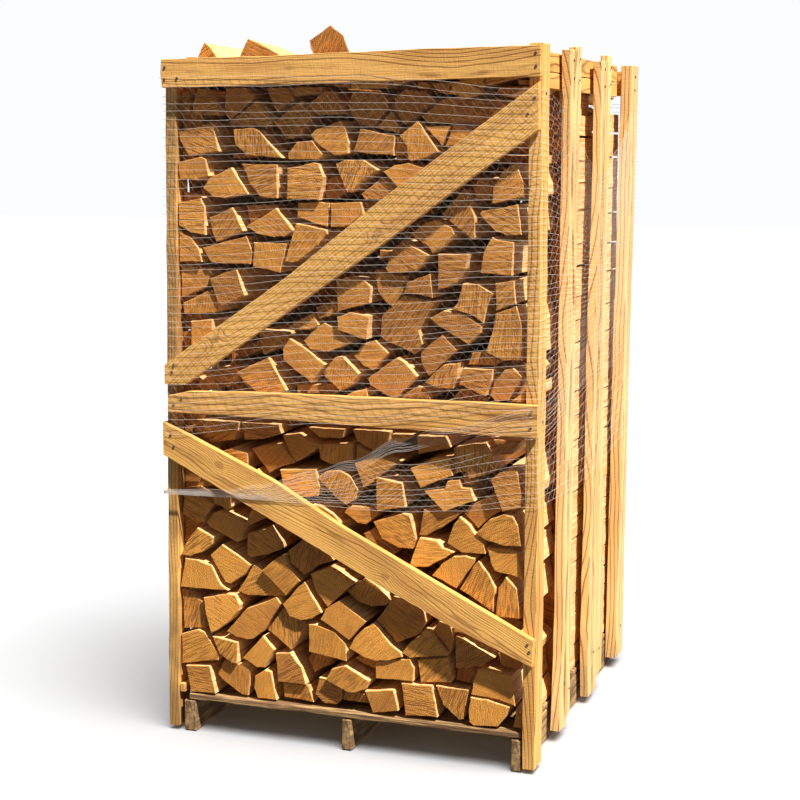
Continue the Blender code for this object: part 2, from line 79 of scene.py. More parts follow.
# One line for each split log of a row, in millimetres: how far it is set back, its tone from
# 0 pale to 9 dark, then its end as x,z corners. The tone is partly the wood's own colour and
# partly painted shade: logs in shadow, and the deep-set logs that fill gaps by the walls, get dark tones.
LOG_ENDS = """
0 4 -479,183 -410,188 -394,112 -467,109
4 2 -499,268 -445,285 -425,280 -384,226 -384,206 -499,186
10 5 -498,393 -474,392 -428,361 -424,290 -488,284
0 2 -424,376 -355,393 -330,391 -317,366 -321,350 -345,322 -385,290 -402,281 -417,330
0 2 -493,401 -475,481 -440,479 -399,467 -372,416 -350,403
5 2 -368,526 -402,495 -360,424 -345,421 -302,452 -286,476
12 3 -326,402 -297,392 -225,397 -192,401 -256,463 -279,477 -297,446
0 4 -253,465 -207,504 -188,508 -172,479 -141,447 -160,430 -184,404
4 5 -358,288 -299,357 -212,396 -199,380 -249,300 -282,275 -302,272 -330,276
0 1 -399,272 -325,262 -329,203 -345,204 -382,228
12 5 -370,205 -345,199 -302,198 -296,190 -296,160 -302,114 -320,115 -370,146 -389,165
6 2 -313,219 -253,286 -221,250 -249,199 -272,197
12 4 -240,303 -197,366 -152,335 -133,327 -174,254
0 2 -192,380 -148,430 -129,447 -82,367 -108,349 -142,341 -174,349
8 5 -218,240 -176,246 -144,210 -131,164 -211,163
18 5 -201,159 -127,158 -113,115 -198,120
8 3 -279,172 -250,191 -232,188 -216,112 -272,111 -282,140
4 3 -114,468 -63,489 -40,478 5,451 -30,419 -66,383 -100,425
22 5 -16,426 8,449 33,467 70,444 102,412 90,398 52,390 12,401
0 4 -85,349 -70,378 -33,404 43,355 -5,301
4 3 -120,331 -100,332 -45,317 -15,287 -14,242 -121,256
0 2 -3,280 12,310 38,337 62,352 72,345 110,300 138,281 142,270 100,256 68,252 38,259
16 6 66,357 112,424 158,423 195,392 199,362 176,326 160,320 122,302 88,340
6 3 68,248 138,262 161,265 172,242 170,206 68,204
0 3 -16,230 52,196 40,172 15,161 -8,159 -72,186 -55,216
14 6 -95,186 -76,184 -34,166 -36,130 -48,117 -80,117 -107,138
20 6 -24,156 14,158 34,147 46,129 -28,131
0 4 38,167 118,179 131,125 61,111
4 3 139,199 222,201 237,118 150,114
4 3 141,280 163,311 184,325 199,346 217,345 266,287 162,268
12 3 182,263 262,277 272,232 272,213 190,204
8 5 232,201 320,199 306,121 296,117 252,152
4 4 346,259 434,250 445,173 400,185 345,189 328,190 333,225
0 1 328,184 372,182 431,168 422,142 400,114 335,110 325,118 323,150
14 5 446,166 460,132 461,112 437,112
12 5 282,335 300,330 385,288 352,264 285,253
30 7 392,299 428,306 456,284 450,260 400,268
0 3 393,401 399,476 418,506 446,478 457,403
4 3 296,463 333,528 345,541 372,508 389,474 385,413
0 2 223,493 250,527 280,548 312,552 337,547 333,533 288,466
0 1 189,589 235,584 251,567 282,559 258,542 215,517 161,510 172,545
4 3 295,651 320,631 338,607 359,584 363,561 300,559 262,581 279,630
0 3 339,613 375,651 410,666 433,663 448,640 456,589 412,586 362,598
6 3 366,577 430,577 449,570 449,556 460,504 412,514 388,519 377,537
4 2 199,711 255,720 262,741 293,745 299,726 323,726 335,694 300,681 253,661
0 3 165,768 200,783 225,797 261,800 277,756 232,737 193,719
4 4 278,826 325,837 357,840 380,806 387,772 336,755 318,751 312,768 284,763
0 4 377,752 400,772 443,782 458,708 454,687 408,673 388,722
18 6 302,659 316,677 372,710 386,700 401,672 372,653 339,622
12 4 196,661 292,657 278,641 243,616 205,594 185,594
0 4 72,740 141,727 150,665 73,649
6 3 62,620 140,647 160,645 177,582 167,557 130,557 84,578
14 5 32,585 60,601 83,574 119,539 90,531 45,560
10 5 -19,638 -8,657 60,657 75,641 40,611 18,613
0 3 13,770 45,787 72,793 127,776 85,746 62,724 36,709
4 3 -92,725 -68,744 -30,748 -1,735 21,700 12,676 -12,660 -45,681
4 2 -197,740 -97,748 -86,702 -93,677 -155,668 -170,667 -188,692
0 4 -121,655 -82,652 -50,634 -27,611 -40,580 -105,600
10 6 -179,524 -138,556 -95,559 -54,506 -98,491 -133,462 -172,490
0 2 -438,567 -392,545 -397,526 -425,502 -460,488 -495,489 -470,528
12 5 -480,655 -440,655 -399,633 -432,580 -445,577 -493,601
14 5 -405,655 -349,655 -351,625 -357,620 -392,634
10 5 -415,583 -396,609 -372,616 -307,592 -312,542 -326,535 -408,572
12 5 -304,585 -285,623 -262,627 -240,608 -294,581
10 5 -296,560 -250,573 -229,585 -204,540 -201,525 -240,508 -287,497 -297,503
0 5 -375,774 -334,789 -289,778 -290,731 -340,736
12 6 -278,790 -245,801 -199,805 -171,776 -162,758 -205,744 -232,727 -257,760
8 2 -283,724 -262,738 -232,708 -252,698
14 5 -443,857 -321,857 -331,810 -400,798 -445,822
14 5 -311,857 -206,857 -202,832 -245,818 -302,812
16 6 -194,829 -150,836 -99,812 -100,801 -154,763 -171,780
0 4 -317,992 -226,1034 -175,950 -222,938 -256,939 -293,966
16 5 -388,986 -375,999 -308,1008 -350,949 -368,949
16 5 -453,943 -402,982 -375,944
30 7 -340,1041 -262,1074 -258,1051 -310,1026
12 6 -254,1103 -191,1097 -182,1075 -212,1060 -243,1040 -249,1050
6 4 -449,1121 -389,1127 -386,1062 -449,1057
12 4 -474,1167 -403,1201 -391,1199 -367,1158 -383,1144 -472,1139
4 5 -391,1233 -350,1250 -314,1259 -292,1193 -361,1162 -371,1174
14 5 -482,1264 -397,1261 -398,1236 -409,1210 -477,1181
4 5 -496,1356 -472,1351 -447,1342 -421,1307 -413,1277 -495,1275
2 2 -482,1431 -414,1441 -403,1420 -401,1347 -440,1352 -496,1372 -488,1412
4 5 -389,1392 -325,1419 -294,1359 -350,1335 -370,1330 -382,1355
0 4 -282,1371 -200,1419 -154,1363 -175,1347 -205,1345 -251,1352
4 5 -410,1314 -340,1332 -284,1346 -270,1305 -275,1274 -345,1273 -387,1277
4 2 -263,1331 -174,1328 -193,1254 -267,1268
0 1 -143,1381 -61,1365 -59,1356 -84,1328 -140,1285 -155,1281 -176,1284 -156,1345
10 3 -142,1432 -82,1435 -57,1433 -61,1374 -82,1378 -145,1397
6 4 -51,1433 29,1436 36,1406 0,1379 -20,1373 -51,1373
30 6 -294,1424 -206,1425 -284,1377 -290,1395
4 4 -473,1612 -379,1635 -359,1562 -445,1550 -471,1592
4 5 -497,1534 -413,1548 -398,1542 -390,1499 -425,1489 -470,1490 -497,1503
2 3 -385,1495 -325,1521 -278,1454 -345,1442 -378,1446 -404,1468
4 4 -295,1530 -197,1529 -198,1444 -225,1444 -247,1449 -274,1480
0 2 -167,1519 -95,1534 -81,1530 -69,1498 -81,1440 -169,1442
4 4 -316,1617 -263,1621 -247,1614 -183,1545 -282,1553 -312,1580
4 5 -166,1556 -140,1586 -101,1589 -73,1554 -86,1541 -164,1542
16 6 -207,1634 -178,1659 -134,1688 -116,1671 -109,1650 -141,1604 -177,1594
14 5 -331,1638 -256,1689 -227,1655 -219,1638 -232,1625 -320,1627
12 5 -344,1680 -340,1721 -286,1721 -265,1696 -329,1642 -342,1656
14 5 -439,1654 -434,1690 -421,1721 -399,1721 -364,1682 -354,1654
20 6 -485,1714 -453,1714 -448,1680 -454,1656 -485,1656
20 6 -230,1721 -173,1721 -155,1695 -202,1662 -221,1698
12 5 -164,1721 -74,1721 -77,1705 -140,1702 -147,1699
8 6 -113,1674 -97,1689 -68,1711 -47,1711 -23,1672 -21,1654 -88,1654
6 3 -104,1602 -92,1615 -23,1638 -9,1612 -2,1582 -4,1558 -40,1552 -79,1575
14 6 -6,1672 5,1708 72,1710 95,1689 96,1665 62,1624 42,1622 6,1647
6 5 11,1562 28,1617 62,1612 120,1600 118,1552 60,1555
2 3 134,1600 153,1614 183,1636 234,1562 205,1547 165,1538 156,1546 152,1575
14 5 123,1598 131,1596 149,1574 149,1552 121,1552
14 5 67,1619 107,1659 130,1612 127,1607
22 7 110,1668 117,1694 140,1713 184,1709 221,1685 170,1648 150,1629 139,1628
18 6 188,1648 232,1683 250,1691 270,1692 270,1631 206,1630
8 4 198,1623 264,1624 242,1577
12 5 269,1623 277,1627 312,1609 290,1581 251,1574
2 3 263,1702 273,1730 308,1730 342,1708 333,1697 296,1686 284,1700
6 3 181,1729 203,1729 212,1715 183,1714
12 6 215,1728 265,1729 255,1705 230,1705
22 7 291,1680 333,1689 379,1690 395,1674 356,1646 320,1652
20 6 376,1702 386,1716 448,1717 428,1703 401,1693
26 6 430,1732 470,1732 453,1721 432,1721
0 2 -34,1530 -8,1541 38,1541 79,1516 34,1489 7,1460 -5,1460
4 3 91,1512 120,1528 157,1534 195,1522 163,1482 128,1474
12 6 29,1456 85,1496 118,1470 80,1442 40,1442
34 7 -72,1492 -42,1500 -22,1460 -40,1444 -75,1444
4 5 244,1408 297,1468 312,1454 329,1400 329,1352 324,1348 290,1373
6 4 162,1358 200,1386 228,1395 269,1376 277,1360 247,1330 220,1312 205,1332
0 5 98,1272 117,1319 143,1342 212,1307 194,1284 169,1264 106,1261
0 5 236,1311 315,1311 307,1275 284,1241 262,1229 236,1222
0 4 375,1355 387,1348 430,1343 426,1262 347,1267 354,1318
0 4 349,1418 438,1435 449,1362 412,1360 384,1368 343,1411
2 3 375,1468 386,1495 403,1517 433,1535 456,1480 457,1454 374,1436
26 6 319,1477 335,1498 367,1480 361,1442 326,1442
6 6 145,1212 152,1237 213,1261 221,1201
12 5 64,1265 85,1261 143,1252 140,1213 113,1177 93,1188 73,1215
0 5 -34,1242 0,1246 42,1241 58,1224 54,1184 20,1174 -31,1160
0 4 -34,1146 0,1159 54,1151 49,1122 47,1092 34,1092 -31,1113
8 5 -94,1169 -48,1186 -39,1182 -35,1153 -87,1139
4 2 -178,1109 -150,1129 -101,1153 -86,1123 -105,1111 -163,1107
8 4 -129,1080 -98,1114 -72,1128 -41,1116 0,1082 -30,1066 -60,1055 -111,1060
0 4 -184,1059 -165,1086 -115,1057 -68,1022 -105,973 -152,1006 -183,1030
0 5 -71,1002 -41,1042 -18,1044 24,1003 7,976 -25,957 -67,990
2 5 51,993 102,1031 128,1048 147,1037 180,1003 142,963 128,945 99,951 56,975
14 5 7,1046 30,1078 65,1088 99,1057 58,1012 33,1022
14 6 78,1102 83,1149 104,1172 142,1204 221,1192 180,1118 190,1084 169,1058 87,1091
6 5 214,1150 248,1170 298,1165 347,1137 344,1118 314,1088 285,1106 237,1131
4 4 274,1175 287,1192 299,1239 338,1238 378,1216 360,1182 352,1144 318,1164
2 4 383,1242 431,1250 436,1194 386,1175
2 4 385,1168 437,1188 452,1138 456,1054 406,1052 361,1071 377,1120
0 5 302,1029 379,1029 375,1000 360,962 320,977 292,987
18 6 321,1066 345,1070 393,1050 379,1037 311,1037
12 6 187,1060 212,1084 245,1109 282,1073 245,1038 208,1004 189,1035
6 4 201,988 224,1012 250,1035 290,1041 284,998 275,976 235,975
0 6 374,966 384,1000 409,1029 431,1034 454,1014 445,995 420,955 388,948
14 6 264,946 296,977 361,950 350,946
12 6 -149,965 -52,971 -51,944 -149,944
4 2 -12,944 5,954 46,966 48,944
14 5 137,944 149,959 180,977 199,974 213,946
2 1 425,950 460,980 460,950
16 5 -121,854 -22,854 -31,831 -90,831
14 6 3,855 102,855 96,832 87,815 66,802 15,827
12 5 -91,812 1,818 3,773 -30,768 -58,762 -87,774
16 5 13,816 58,797 30,782 13,780
16 5 107,849 164,851 140,831 109,820
16 5 176,848 250,851 261,822 181,803
24 7 376,849 449,851 425,816 396,813
20 6 274,361 311,348 305,344 276,344
16 6 220,345 237,370 267,361 274,330 269,293
20 6 299,759 309,761 316,746 330,741 325,731 301,731
40 7 -137,228 -118,249 -62,239 -72,215 -96,205 -119,190
38 7 -1,244 20,255 62,247 63,213 10,235
40 7 279,245 338,250 321,207 277,213
2 3 -476,1726 -475,1768 -432,1776 -388,1760 -392,1728
0 1 -384,1728 -382,1762 -300,1770 -283,1740 -300,1727
5 4 -276,1728 -290,1770 -240,1784 -196,1770 -180,1727
0 2 -172,1728 -186,1774 -120,1776 -92,1750 -96,1728
4 5 -88,1730 -86,1752 -62,1774 -10,1776 0,1742 -20,1720
0 2 8,1717 6,1768 40,1782 92,1776 108,1742 98,1716
6 4 116,1722 112,1772 168,1792 178,1740
0 1 186,1737 182,1790 262,1796 270,1740
3 3 278,1738 272,1790 330,1802 352,1760 345,1714
0 2 358,1720 362,1788 448,1796 461,1740
28 8 -478,1612 -479,1662 -446,1666 -418,1655 -424,1620
28 9 -480,1534 -481,1570 -450,1573 -420,1568 -424,1536
70 9 -353,1543 -350,1557 -288,1556 -286,1544
30 8 -482,1424 -483,1456 -430,1452 -412,1434 -440,1420
28 9 -482,1258 -484,1282 -440,1284 -430,1262
28 9 -486,1164 -487,1194 -450,1196 -430,1168
28 7 -487,1040 -488,1090 -450,1093 -424,1070 -430,1044
34 8 -486,1094 -487,1148 -450,1150 -424,1130 -430,1097
70 9 -365,998 -366,1047 -345,1046 -344,1000
28 7 -490,925 -491,972 -445,974 -428,950 -436,927
75 9 -366,923 -368,962 -320,966 -287,958 -290,926
28 8 -491,800 -492,838 -452,842 -428,826 -432,802
34 7 -490,841 -491,880 -450,884 -428,868 -434,843
70 9 -369,774 -368,804 -349,803 -350,775
28 9 -492,684 -493,724 -460,726 -440,700 -446,686
28 7 -494,522 -495,600 -454,604 -432,580 -438,524
28 8 -494,640 -494,668 -440,676 -398,660 -410,636
34 7 -494,671 -493,704 -440,706 -404,690 -410,676
28 8 -452,780 -450,812 -400,810 -396,782
60 9 372,1530 374,1553 452,1552 450,1531
60 9 104,1536 106,1553 138,1552 137,1537
60 9 58,1288 60,1315 101,1314 99,1289
28 9 -476,1704 -476,1738 -440,1738 -432,1706
60 8 -492,1497 -493,1443 -468,1443 -466,1498
62 9 -490,1503 -408,1503 -420,1484 -490,1482
58 8 -448,1456 -418,1477 -413,1443 -457,1443
"""


# The loose logs: node, where each begins, its length, how far right its far end lies, and its end.
LOOSE_LOGS = (
    ("loose_log_left", 30, 326, -30, "0 3 -422,1779 -423,1802 -403,1838 -386,1824 -366,1796 -370,1783"),
    ("loose_log_middle", 28, 328, -60, "0 6 -300,1790 -304,1802 -281,1845 -242,1828 -195,1805 -190,1787"),
    ("loose_log_square", 26, 318, -129, "0 7 -111,1836 -54,1873 -20,1847 -3,1806 -20,1784 -80,1786"),
)


class Side(Enum):
    """Which end of a row its logs show."""

    FRONT = "front"
    HIDDEN = "hidden"
    BACK = "back"


def place(x: float, y: float, z: float) -> Vector:
    """Turn a drawn point into a point of the frame.

    Args:
        x: Millimetres across the drawing.
        y: Millimetres back from the posts' front faces.
        z: Millimetres above the ground.

    Returns:
        The point in metres.
    """
    return Vector(((x - MIDDLE_X) * MM, (y - DEPTH / 2) * MM, z * MM))


def between(low: float, high: float, share: float) -> float:
    """Return the value that lies a share of the way from low to high."""
    return low + (high - low) * share


def along_curve(curve: Sequence[Point], where: float) -> float:
    """Read a curve given by a few points.

    Args:
        curve: The points, as (position, value), in rising order.
        where: The position to read.

    Returns:
        The value there, eased between the two nearest points.
    """
    for (left, low), (right, high) in zip(curve, curve[1:]):
        if where <= right:
            share = min(max((where - left) / (right - left), 0.0), 1.0)
            return between(low, high, share * share * (3 - 2 * share))
    return curve[-1][1]


class NodeSheet:
    """The node tree of one material, with short calls that add and join its nodes."""

    def __init__(self, name: str) -> None:
        """Start a material that holds only its shader.

        Args:
            name: The material's name.
        """
        self.material = bpy.data.materials.new(name)
        self.material.use_nodes = True
        self.tree = self.material.node_tree
        self.shader = self.tree.nodes["Principled BSDF"]

    def add(self, kind: str, **settings: object) -> bpy.types.Node:
        """Add a node.

        Args:
            kind: The node's Blender type.
            settings: Values for the node's own properties.

        Returns:
            The new node.
        """
        made = self.tree.nodes.new(kind)
        for name, value in settings.items():
            setattr(made, name, value)
        return made

    def feed(self, socket: bpy.types.NodeSocket, value: object) -> None:
        """Link a socket to another one, or give it a plain value.

        Args:
            socket: The socket that is fed.
            value: Another socket, or the plain value.
        """
        if isinstance(value, bpy.types.NodeSocket):
            self.tree.links.new(value, socket)
        else:
            socket.default_value = value

    def attribute(self, name: str) -> bpy.types.Node:
        """Read an attribute that the mesh holds."""
        return self.add("ShaderNodeAttribute", attribute_name=name)

    def object_place(self) -> bpy.types.NodeSocket:
        """Read the object's own coordinates, in metres."""
        return self.add("ShaderNodeTexCoord").outputs["Object"]

    def split(self, vector: bpy.types.NodeSocket) -> list[bpy.types.NodeSocket]:
        """Part a vector into its three numbers.

        Args:
            vector: The vector.

        Returns:
            Its x, y and z.
        """
        node = self.add("ShaderNodeSeparateXYZ")
        self.feed(node.inputs[0], vector)
        return list(node.outputs)

    def join(self, x: object, y: object, z: object) -> bpy.types.NodeSocket:
        """Make a vector of three numbers.

        Args:
            x: Its first number, or a socket.
            y: Its second one.
            z: Its third one.

        Returns:
            The vector.
        """
        node = self.add("ShaderNodeCombineXYZ")
        for socket, value in zip(node.inputs, (x, y, z)):
            self.feed(socket, value)
        return node.outputs[0]

    def math(self, operation: str, *values: object) -> bpy.types.NodeSocket:
        """Work out a number.

        Args:
            operation: The Math node's operation.
            values: Its inputs, as sockets or plain numbers.

        Returns:
            The result.
        """
        node = self.add("ShaderNodeMath", operation=operation)
        for socket, value in zip(node.inputs, values):
            self.feed(socket, value)
        return node.outputs[0]

    def vector(self, operation: str, first: object, second: object) -> bpy.types.NodeSocket:
        """Work out a vector from two others.

        Args:
            operation: The Vector Math node's operation.
            first: A vector, or a socket.
            second: The other one.

        Returns:
            The result, which is a plain number for a length.
        """
        node = self.add("ShaderNodeVectorMath", operation=operation)
        self.feed(node.inputs[0], first)
        self.feed(node.inputs[1], second)
        return node.outputs["Value" if operation == "LENGTH" else "Vector"]

    def noise(
        self, vector: object, scale: float, detail: float = 2.0, roughness: float = 0.5
    ) -> bpy.types.NodeSocket:
        """Sample smooth noise.

        Args:
            vector: Where to sample it.
            scale: Lumps per unit of that vector.
            detail: How many finer layers are added.
            roughness: How strong those layers are.

        Returns:
            A number around 0.5.
        """
        node = self.add("ShaderNodeTexNoise")
        self.feed(node.inputs["Vector"], vector)
        node.inputs["Scale"].default_value = scale
        node.inputs["Detail"].default_value = detail
        node.inputs["Roughness"].default_value = roughness
        return node.outputs["Fac"]

    def step(self, value: object, low: float, high: float) -> bpy.types.NodeSocket:
        """Rise smoothly from 0 to 1.

        Args:
            value: The number that is read.
            low: Where the rise starts.
            high: Where it ends.

        Returns:
            The height of the rise.
        """
        node = self.add("ShaderNodeMapRange", interpolation_type="SMOOTHSTEP")
        for socket, entry in zip(node.inputs[:5], (value, low, high, 0.0, 1.0)):
            self.feed(socket, entry)
        return node.outputs["Result"]

    def mix(self, share: object, first: object, second: object) -> bpy.types.NodeSocket:
        """Blend two colours.

        Args:
            share: How much of the second colour shows.
            first: A colour of four numbers, or a socket.
            second: The other one.

        Returns:
            The blended colour.
        """
        node = self.add("ShaderNodeMix", data_type="RGBA")
        sockets = (node.inputs["Factor"], node.inputs[6], node.inputs[7])
        for socket, value in zip(sockets, (share, first, second)):
            self.feed(socket, value)
        return node.outputs[2]

    def times(self, first: object, second: object) -> bpy.types.NodeSocket:
        """Multiply two numbers."""
        return self.math("MULTIPLY", first, second)

    def finish(self, colour: object, height: object, depth: float, roughness: object) -> None:
        """Join colour, relief and roughness to the shader.

        Args:
            colour: The surface colour.
            height: The relief, from 0 to 1.
            depth: How many metres a relief of 1 stands out.
            roughness: The shader's roughness.
        """
        bump = self.add("ShaderNodeBump")
        bump.inputs["Strength"].default_value = 1.0
        bump.inputs["Distance"].default_value = depth
        self.feed(bump.inputs["Height"], height)
        self.feed(self.shader.inputs["Normal"], bump.outputs["Normal"])
        self.feed(self.shader.inputs["Base Color"], colour)
        self.feed(self.shader.inputs["Roughness"], roughness)


def paint(colour: Colour) -> tuple[float, float, float, float]:
    """Give a colour the fourth number that a node's socket takes."""
    return (*colour, 1.0)


@dataclass(frozen=True)
class SawnSoftwood:
    """Rough-sawn spruce: straw yellow with brown growth rings that run along the board.

    Attributes:
        name: The material's name.
        early: The wood between the growth lines.
        late: The growth lines and knots.
        stain: The darker patches.
        dirt_and_shade: What boards are darkened towards: weathering dirt, and on the front left post also
            painted shade.
        ring: Metres from one growth line to the next.
        knots: Each knot's place along and across the board, and its half width, in metres.
        roughness: The shader's roughness.
    """

    name: str = "sawn_softwood"
    early: Colour = (0.95, 0.52, 0.145)
    late: Colour = (0.27, 0.10, 0.022)
    stain: Colour = (0.68, 0.33, 0.08)
    dirt_and_shade: Colour = (0.20, 0.10, 0.035)
    ring: float = 0.0085
    knots: tuple[tuple[float, float, float], ...] = ()
    roughness: float = 0.72

    def material(self) -> bpy.types.Material:
        """Build the wood from each board's own along, across and through measures.

        Returns:
            The material.
        """
        sheet = NodeSheet(self.name)
        place_on_board = sheet.attribute("grain_place").outputs["Vector"]
        along, across, through = sheet.split(place_on_board)
        number = sheet.attribute("board_number").outputs["Fac"]
        radius, in_knot = self.growth(sheet, along, across, through, number)
        bands = sheet.math("SINE", sheet.times(radius, math.tau / self.ring))
        line = sheet.math("POWER", sheet.math("MULTIPLY_ADD", bands, 0.5, 0.5), 7.0)
        patchy = self.streaks(sheet, place_on_board, number, 3.0, 18.0)
        share = sheet.times(line, sheet.math("MULTIPLY_ADD", patchy, 1.1, 0.25))
        fibre = self.streaks(sheet, place_on_board, number, 12.0, 420.0)
        colour = sheet.mix(sheet.step(patchy, 0.4, 0.75), paint(self.early), paint(self.stain))
        colour = sheet.mix(share, colour, paint(self.late))
        coarse = sheet.times(sheet.step(fibre, 0.52, 0.8), 0.3)
        colour = sheet.mix(coarse, colour, paint(self.late))
        colour = sheet.mix(sheet.times(in_knot, 0.6), colour, paint(self.late))
        end = sheet.attribute("end_face").outputs["Fac"]
        colour = sheet.mix(sheet.times(end, 0.4), colour, paint(self.stain))
        moved = sheet.vector("ADD", sheet.object_place(), sheet.join(number, 0.0, 0.0))
        blotch = sheet.noise(moved, 9.0, 3.0)
        # Boards darken in blotches by their tone: weathering dirt, and on the front left post also painted
        # shade.
        tone = sheet.attribute("board_tone").outputs["Fac"]
        tone = sheet.times(tone, sheet.step(blotch, 0.2, 0.62))
        colour = sheet.mix(tone, colour, paint(self.dirt_and_shade))
        saw = sheet.noise(sheet.vector("MULTIPLY", place_on_board, (240.0, 60.0, 60.0)), 1.0)
        height = sheet.math("ADD", sheet.times(fibre, 0.7), sheet.times(saw, 0.6))
        height = sheet.math("SUBTRACT", height, sheet.times(line, 0.3))
        sheet.finish(colour, height, 0.0012, self.roughness)
        return sheet.material

    def growth(
        self,
        sheet: NodeSheet,
        along: bpy.types.NodeSocket,
        across: bpy.types.NodeSocket,
        through: bpy.types.NodeSocket,
        number: bpy.types.NodeSocket,
    ) -> tuple[bpy.types.NodeSocket, object]:
        """Work out how far each point lies from the middle of the tree, pushed aside by knots.

        Args:
            sheet: The material's nodes.
            along: Metres along the board.
            across: Metres across it.
            through: Metres into it.
            number: The board's own number.

        Returns:
            That distance in metres, and how much of the point is knot.
        """
        wander = sheet.noise(sheet.join(sheet.times(along, 1.6), number, 0.0), 1.0, 1.0)
        ripple = sheet.noise(sheet.join(sheet.times(along, 9.0), sheet.times(across, 22.0), number), 1.0)
        heart = sheet.math("MULTIPLY_ADD", wander, 0.16, -0.08)
        sideways = sheet.math("SUBTRACT", across, heart)
        deep = sheet.math("FRACT", sheet.times(number, 0.618))
        depth = sheet.math("ADD", through, sheet.math("MULTIPLY_ADD", deep, 0.03, 0.03))
        radius = sheet.vector("LENGTH", sheet.join(sideways, depth, 0.0), (0, 0, 0))
        radius = sheet.math("MULTIPLY_ADD", ripple, 0.006, radius)
        in_knot: object = 0.0
        for knot_along, knot_across, size in self.knots:
            reach_along = sheet.times(sheet.math("SUBTRACT", along, knot_along), 0.7)
            reach_across = sheet.math("SUBTRACT", across, knot_across)
            reach = sheet.vector("LENGTH", sheet.join(reach_along, reach_across, 0.0), (0, 0, 0))
            push = sheet.times(sheet.step(reach, size * 3.5, 0.0), size)
            radius = sheet.math("ADD", radius, push)
            in_knot = sheet.math("MAXIMUM", in_knot, sheet.step(reach, size * 1.08, size * 0.8))
        return radius, in_knot

    @staticmethod
    def streaks(
        sheet: NodeSheet,
        place_on_board: bpy.types.NodeSocket,
        number: bpy.types.NodeSocket,
        long: float,
        thin: float,
    ) -> bpy.types.NodeSocket:
        """Sample noise that is drawn out along the board, another for each board."""
        moved = sheet.vector("ADD", place_on_board, sheet.join(number, 0.0, 0.0))
        return sheet.noise(sheet.vector("MULTIPLY", moved, (long, thin, thin)), 1.0, 3.0)


@dataclass(frozen=True)
class WeatheredDeck:
    """Barky deck and runner wood: grey brown with paler worn streaks.

    Attributes:
        name: The material's name.
        worn: The paler streaks.
        bark: The dark bark between them.
        roughness: The shader's roughness.
    """

    name: str = "deck_softwood"
    worn: Colour = (0.52, 0.33, 0.14)
    bark: Colour = (0.16, 0.085, 0.035)
    roughness: float = 0.85

    def material(self) -> bpy.types.Material:
        """Build the wood from each board's own along, across and through measures.

        Returns:
            The material.
        """
        sheet = NodeSheet(self.name)
        place_on_board = sheet.attribute("grain_place").outputs["Vector"]
        drawn_out = sheet.vector("MULTIPLY", place_on_board, (7.0, 60.0, 90.0))
        streak = sheet.noise(drawn_out, 1.0, 4.0, 0.65)
        fibre = sheet.noise(sheet.vector("MULTIPLY", place_on_board, (30.0, 400.0, 400.0)), 1.0, 3.0)
        colour = sheet.mix(sheet.step(streak, 0.42, 0.62), paint(self.bark), paint(self.worn))
        colour = sheet.mix(sheet.times(fibre, 0.5), colour, paint(self.bark))
        height = sheet.math("ADD", streak, sheet.times(fibre, 0.4))
        sheet.finish(colour, height, 0.003, self.roughness)
        return sheet.material


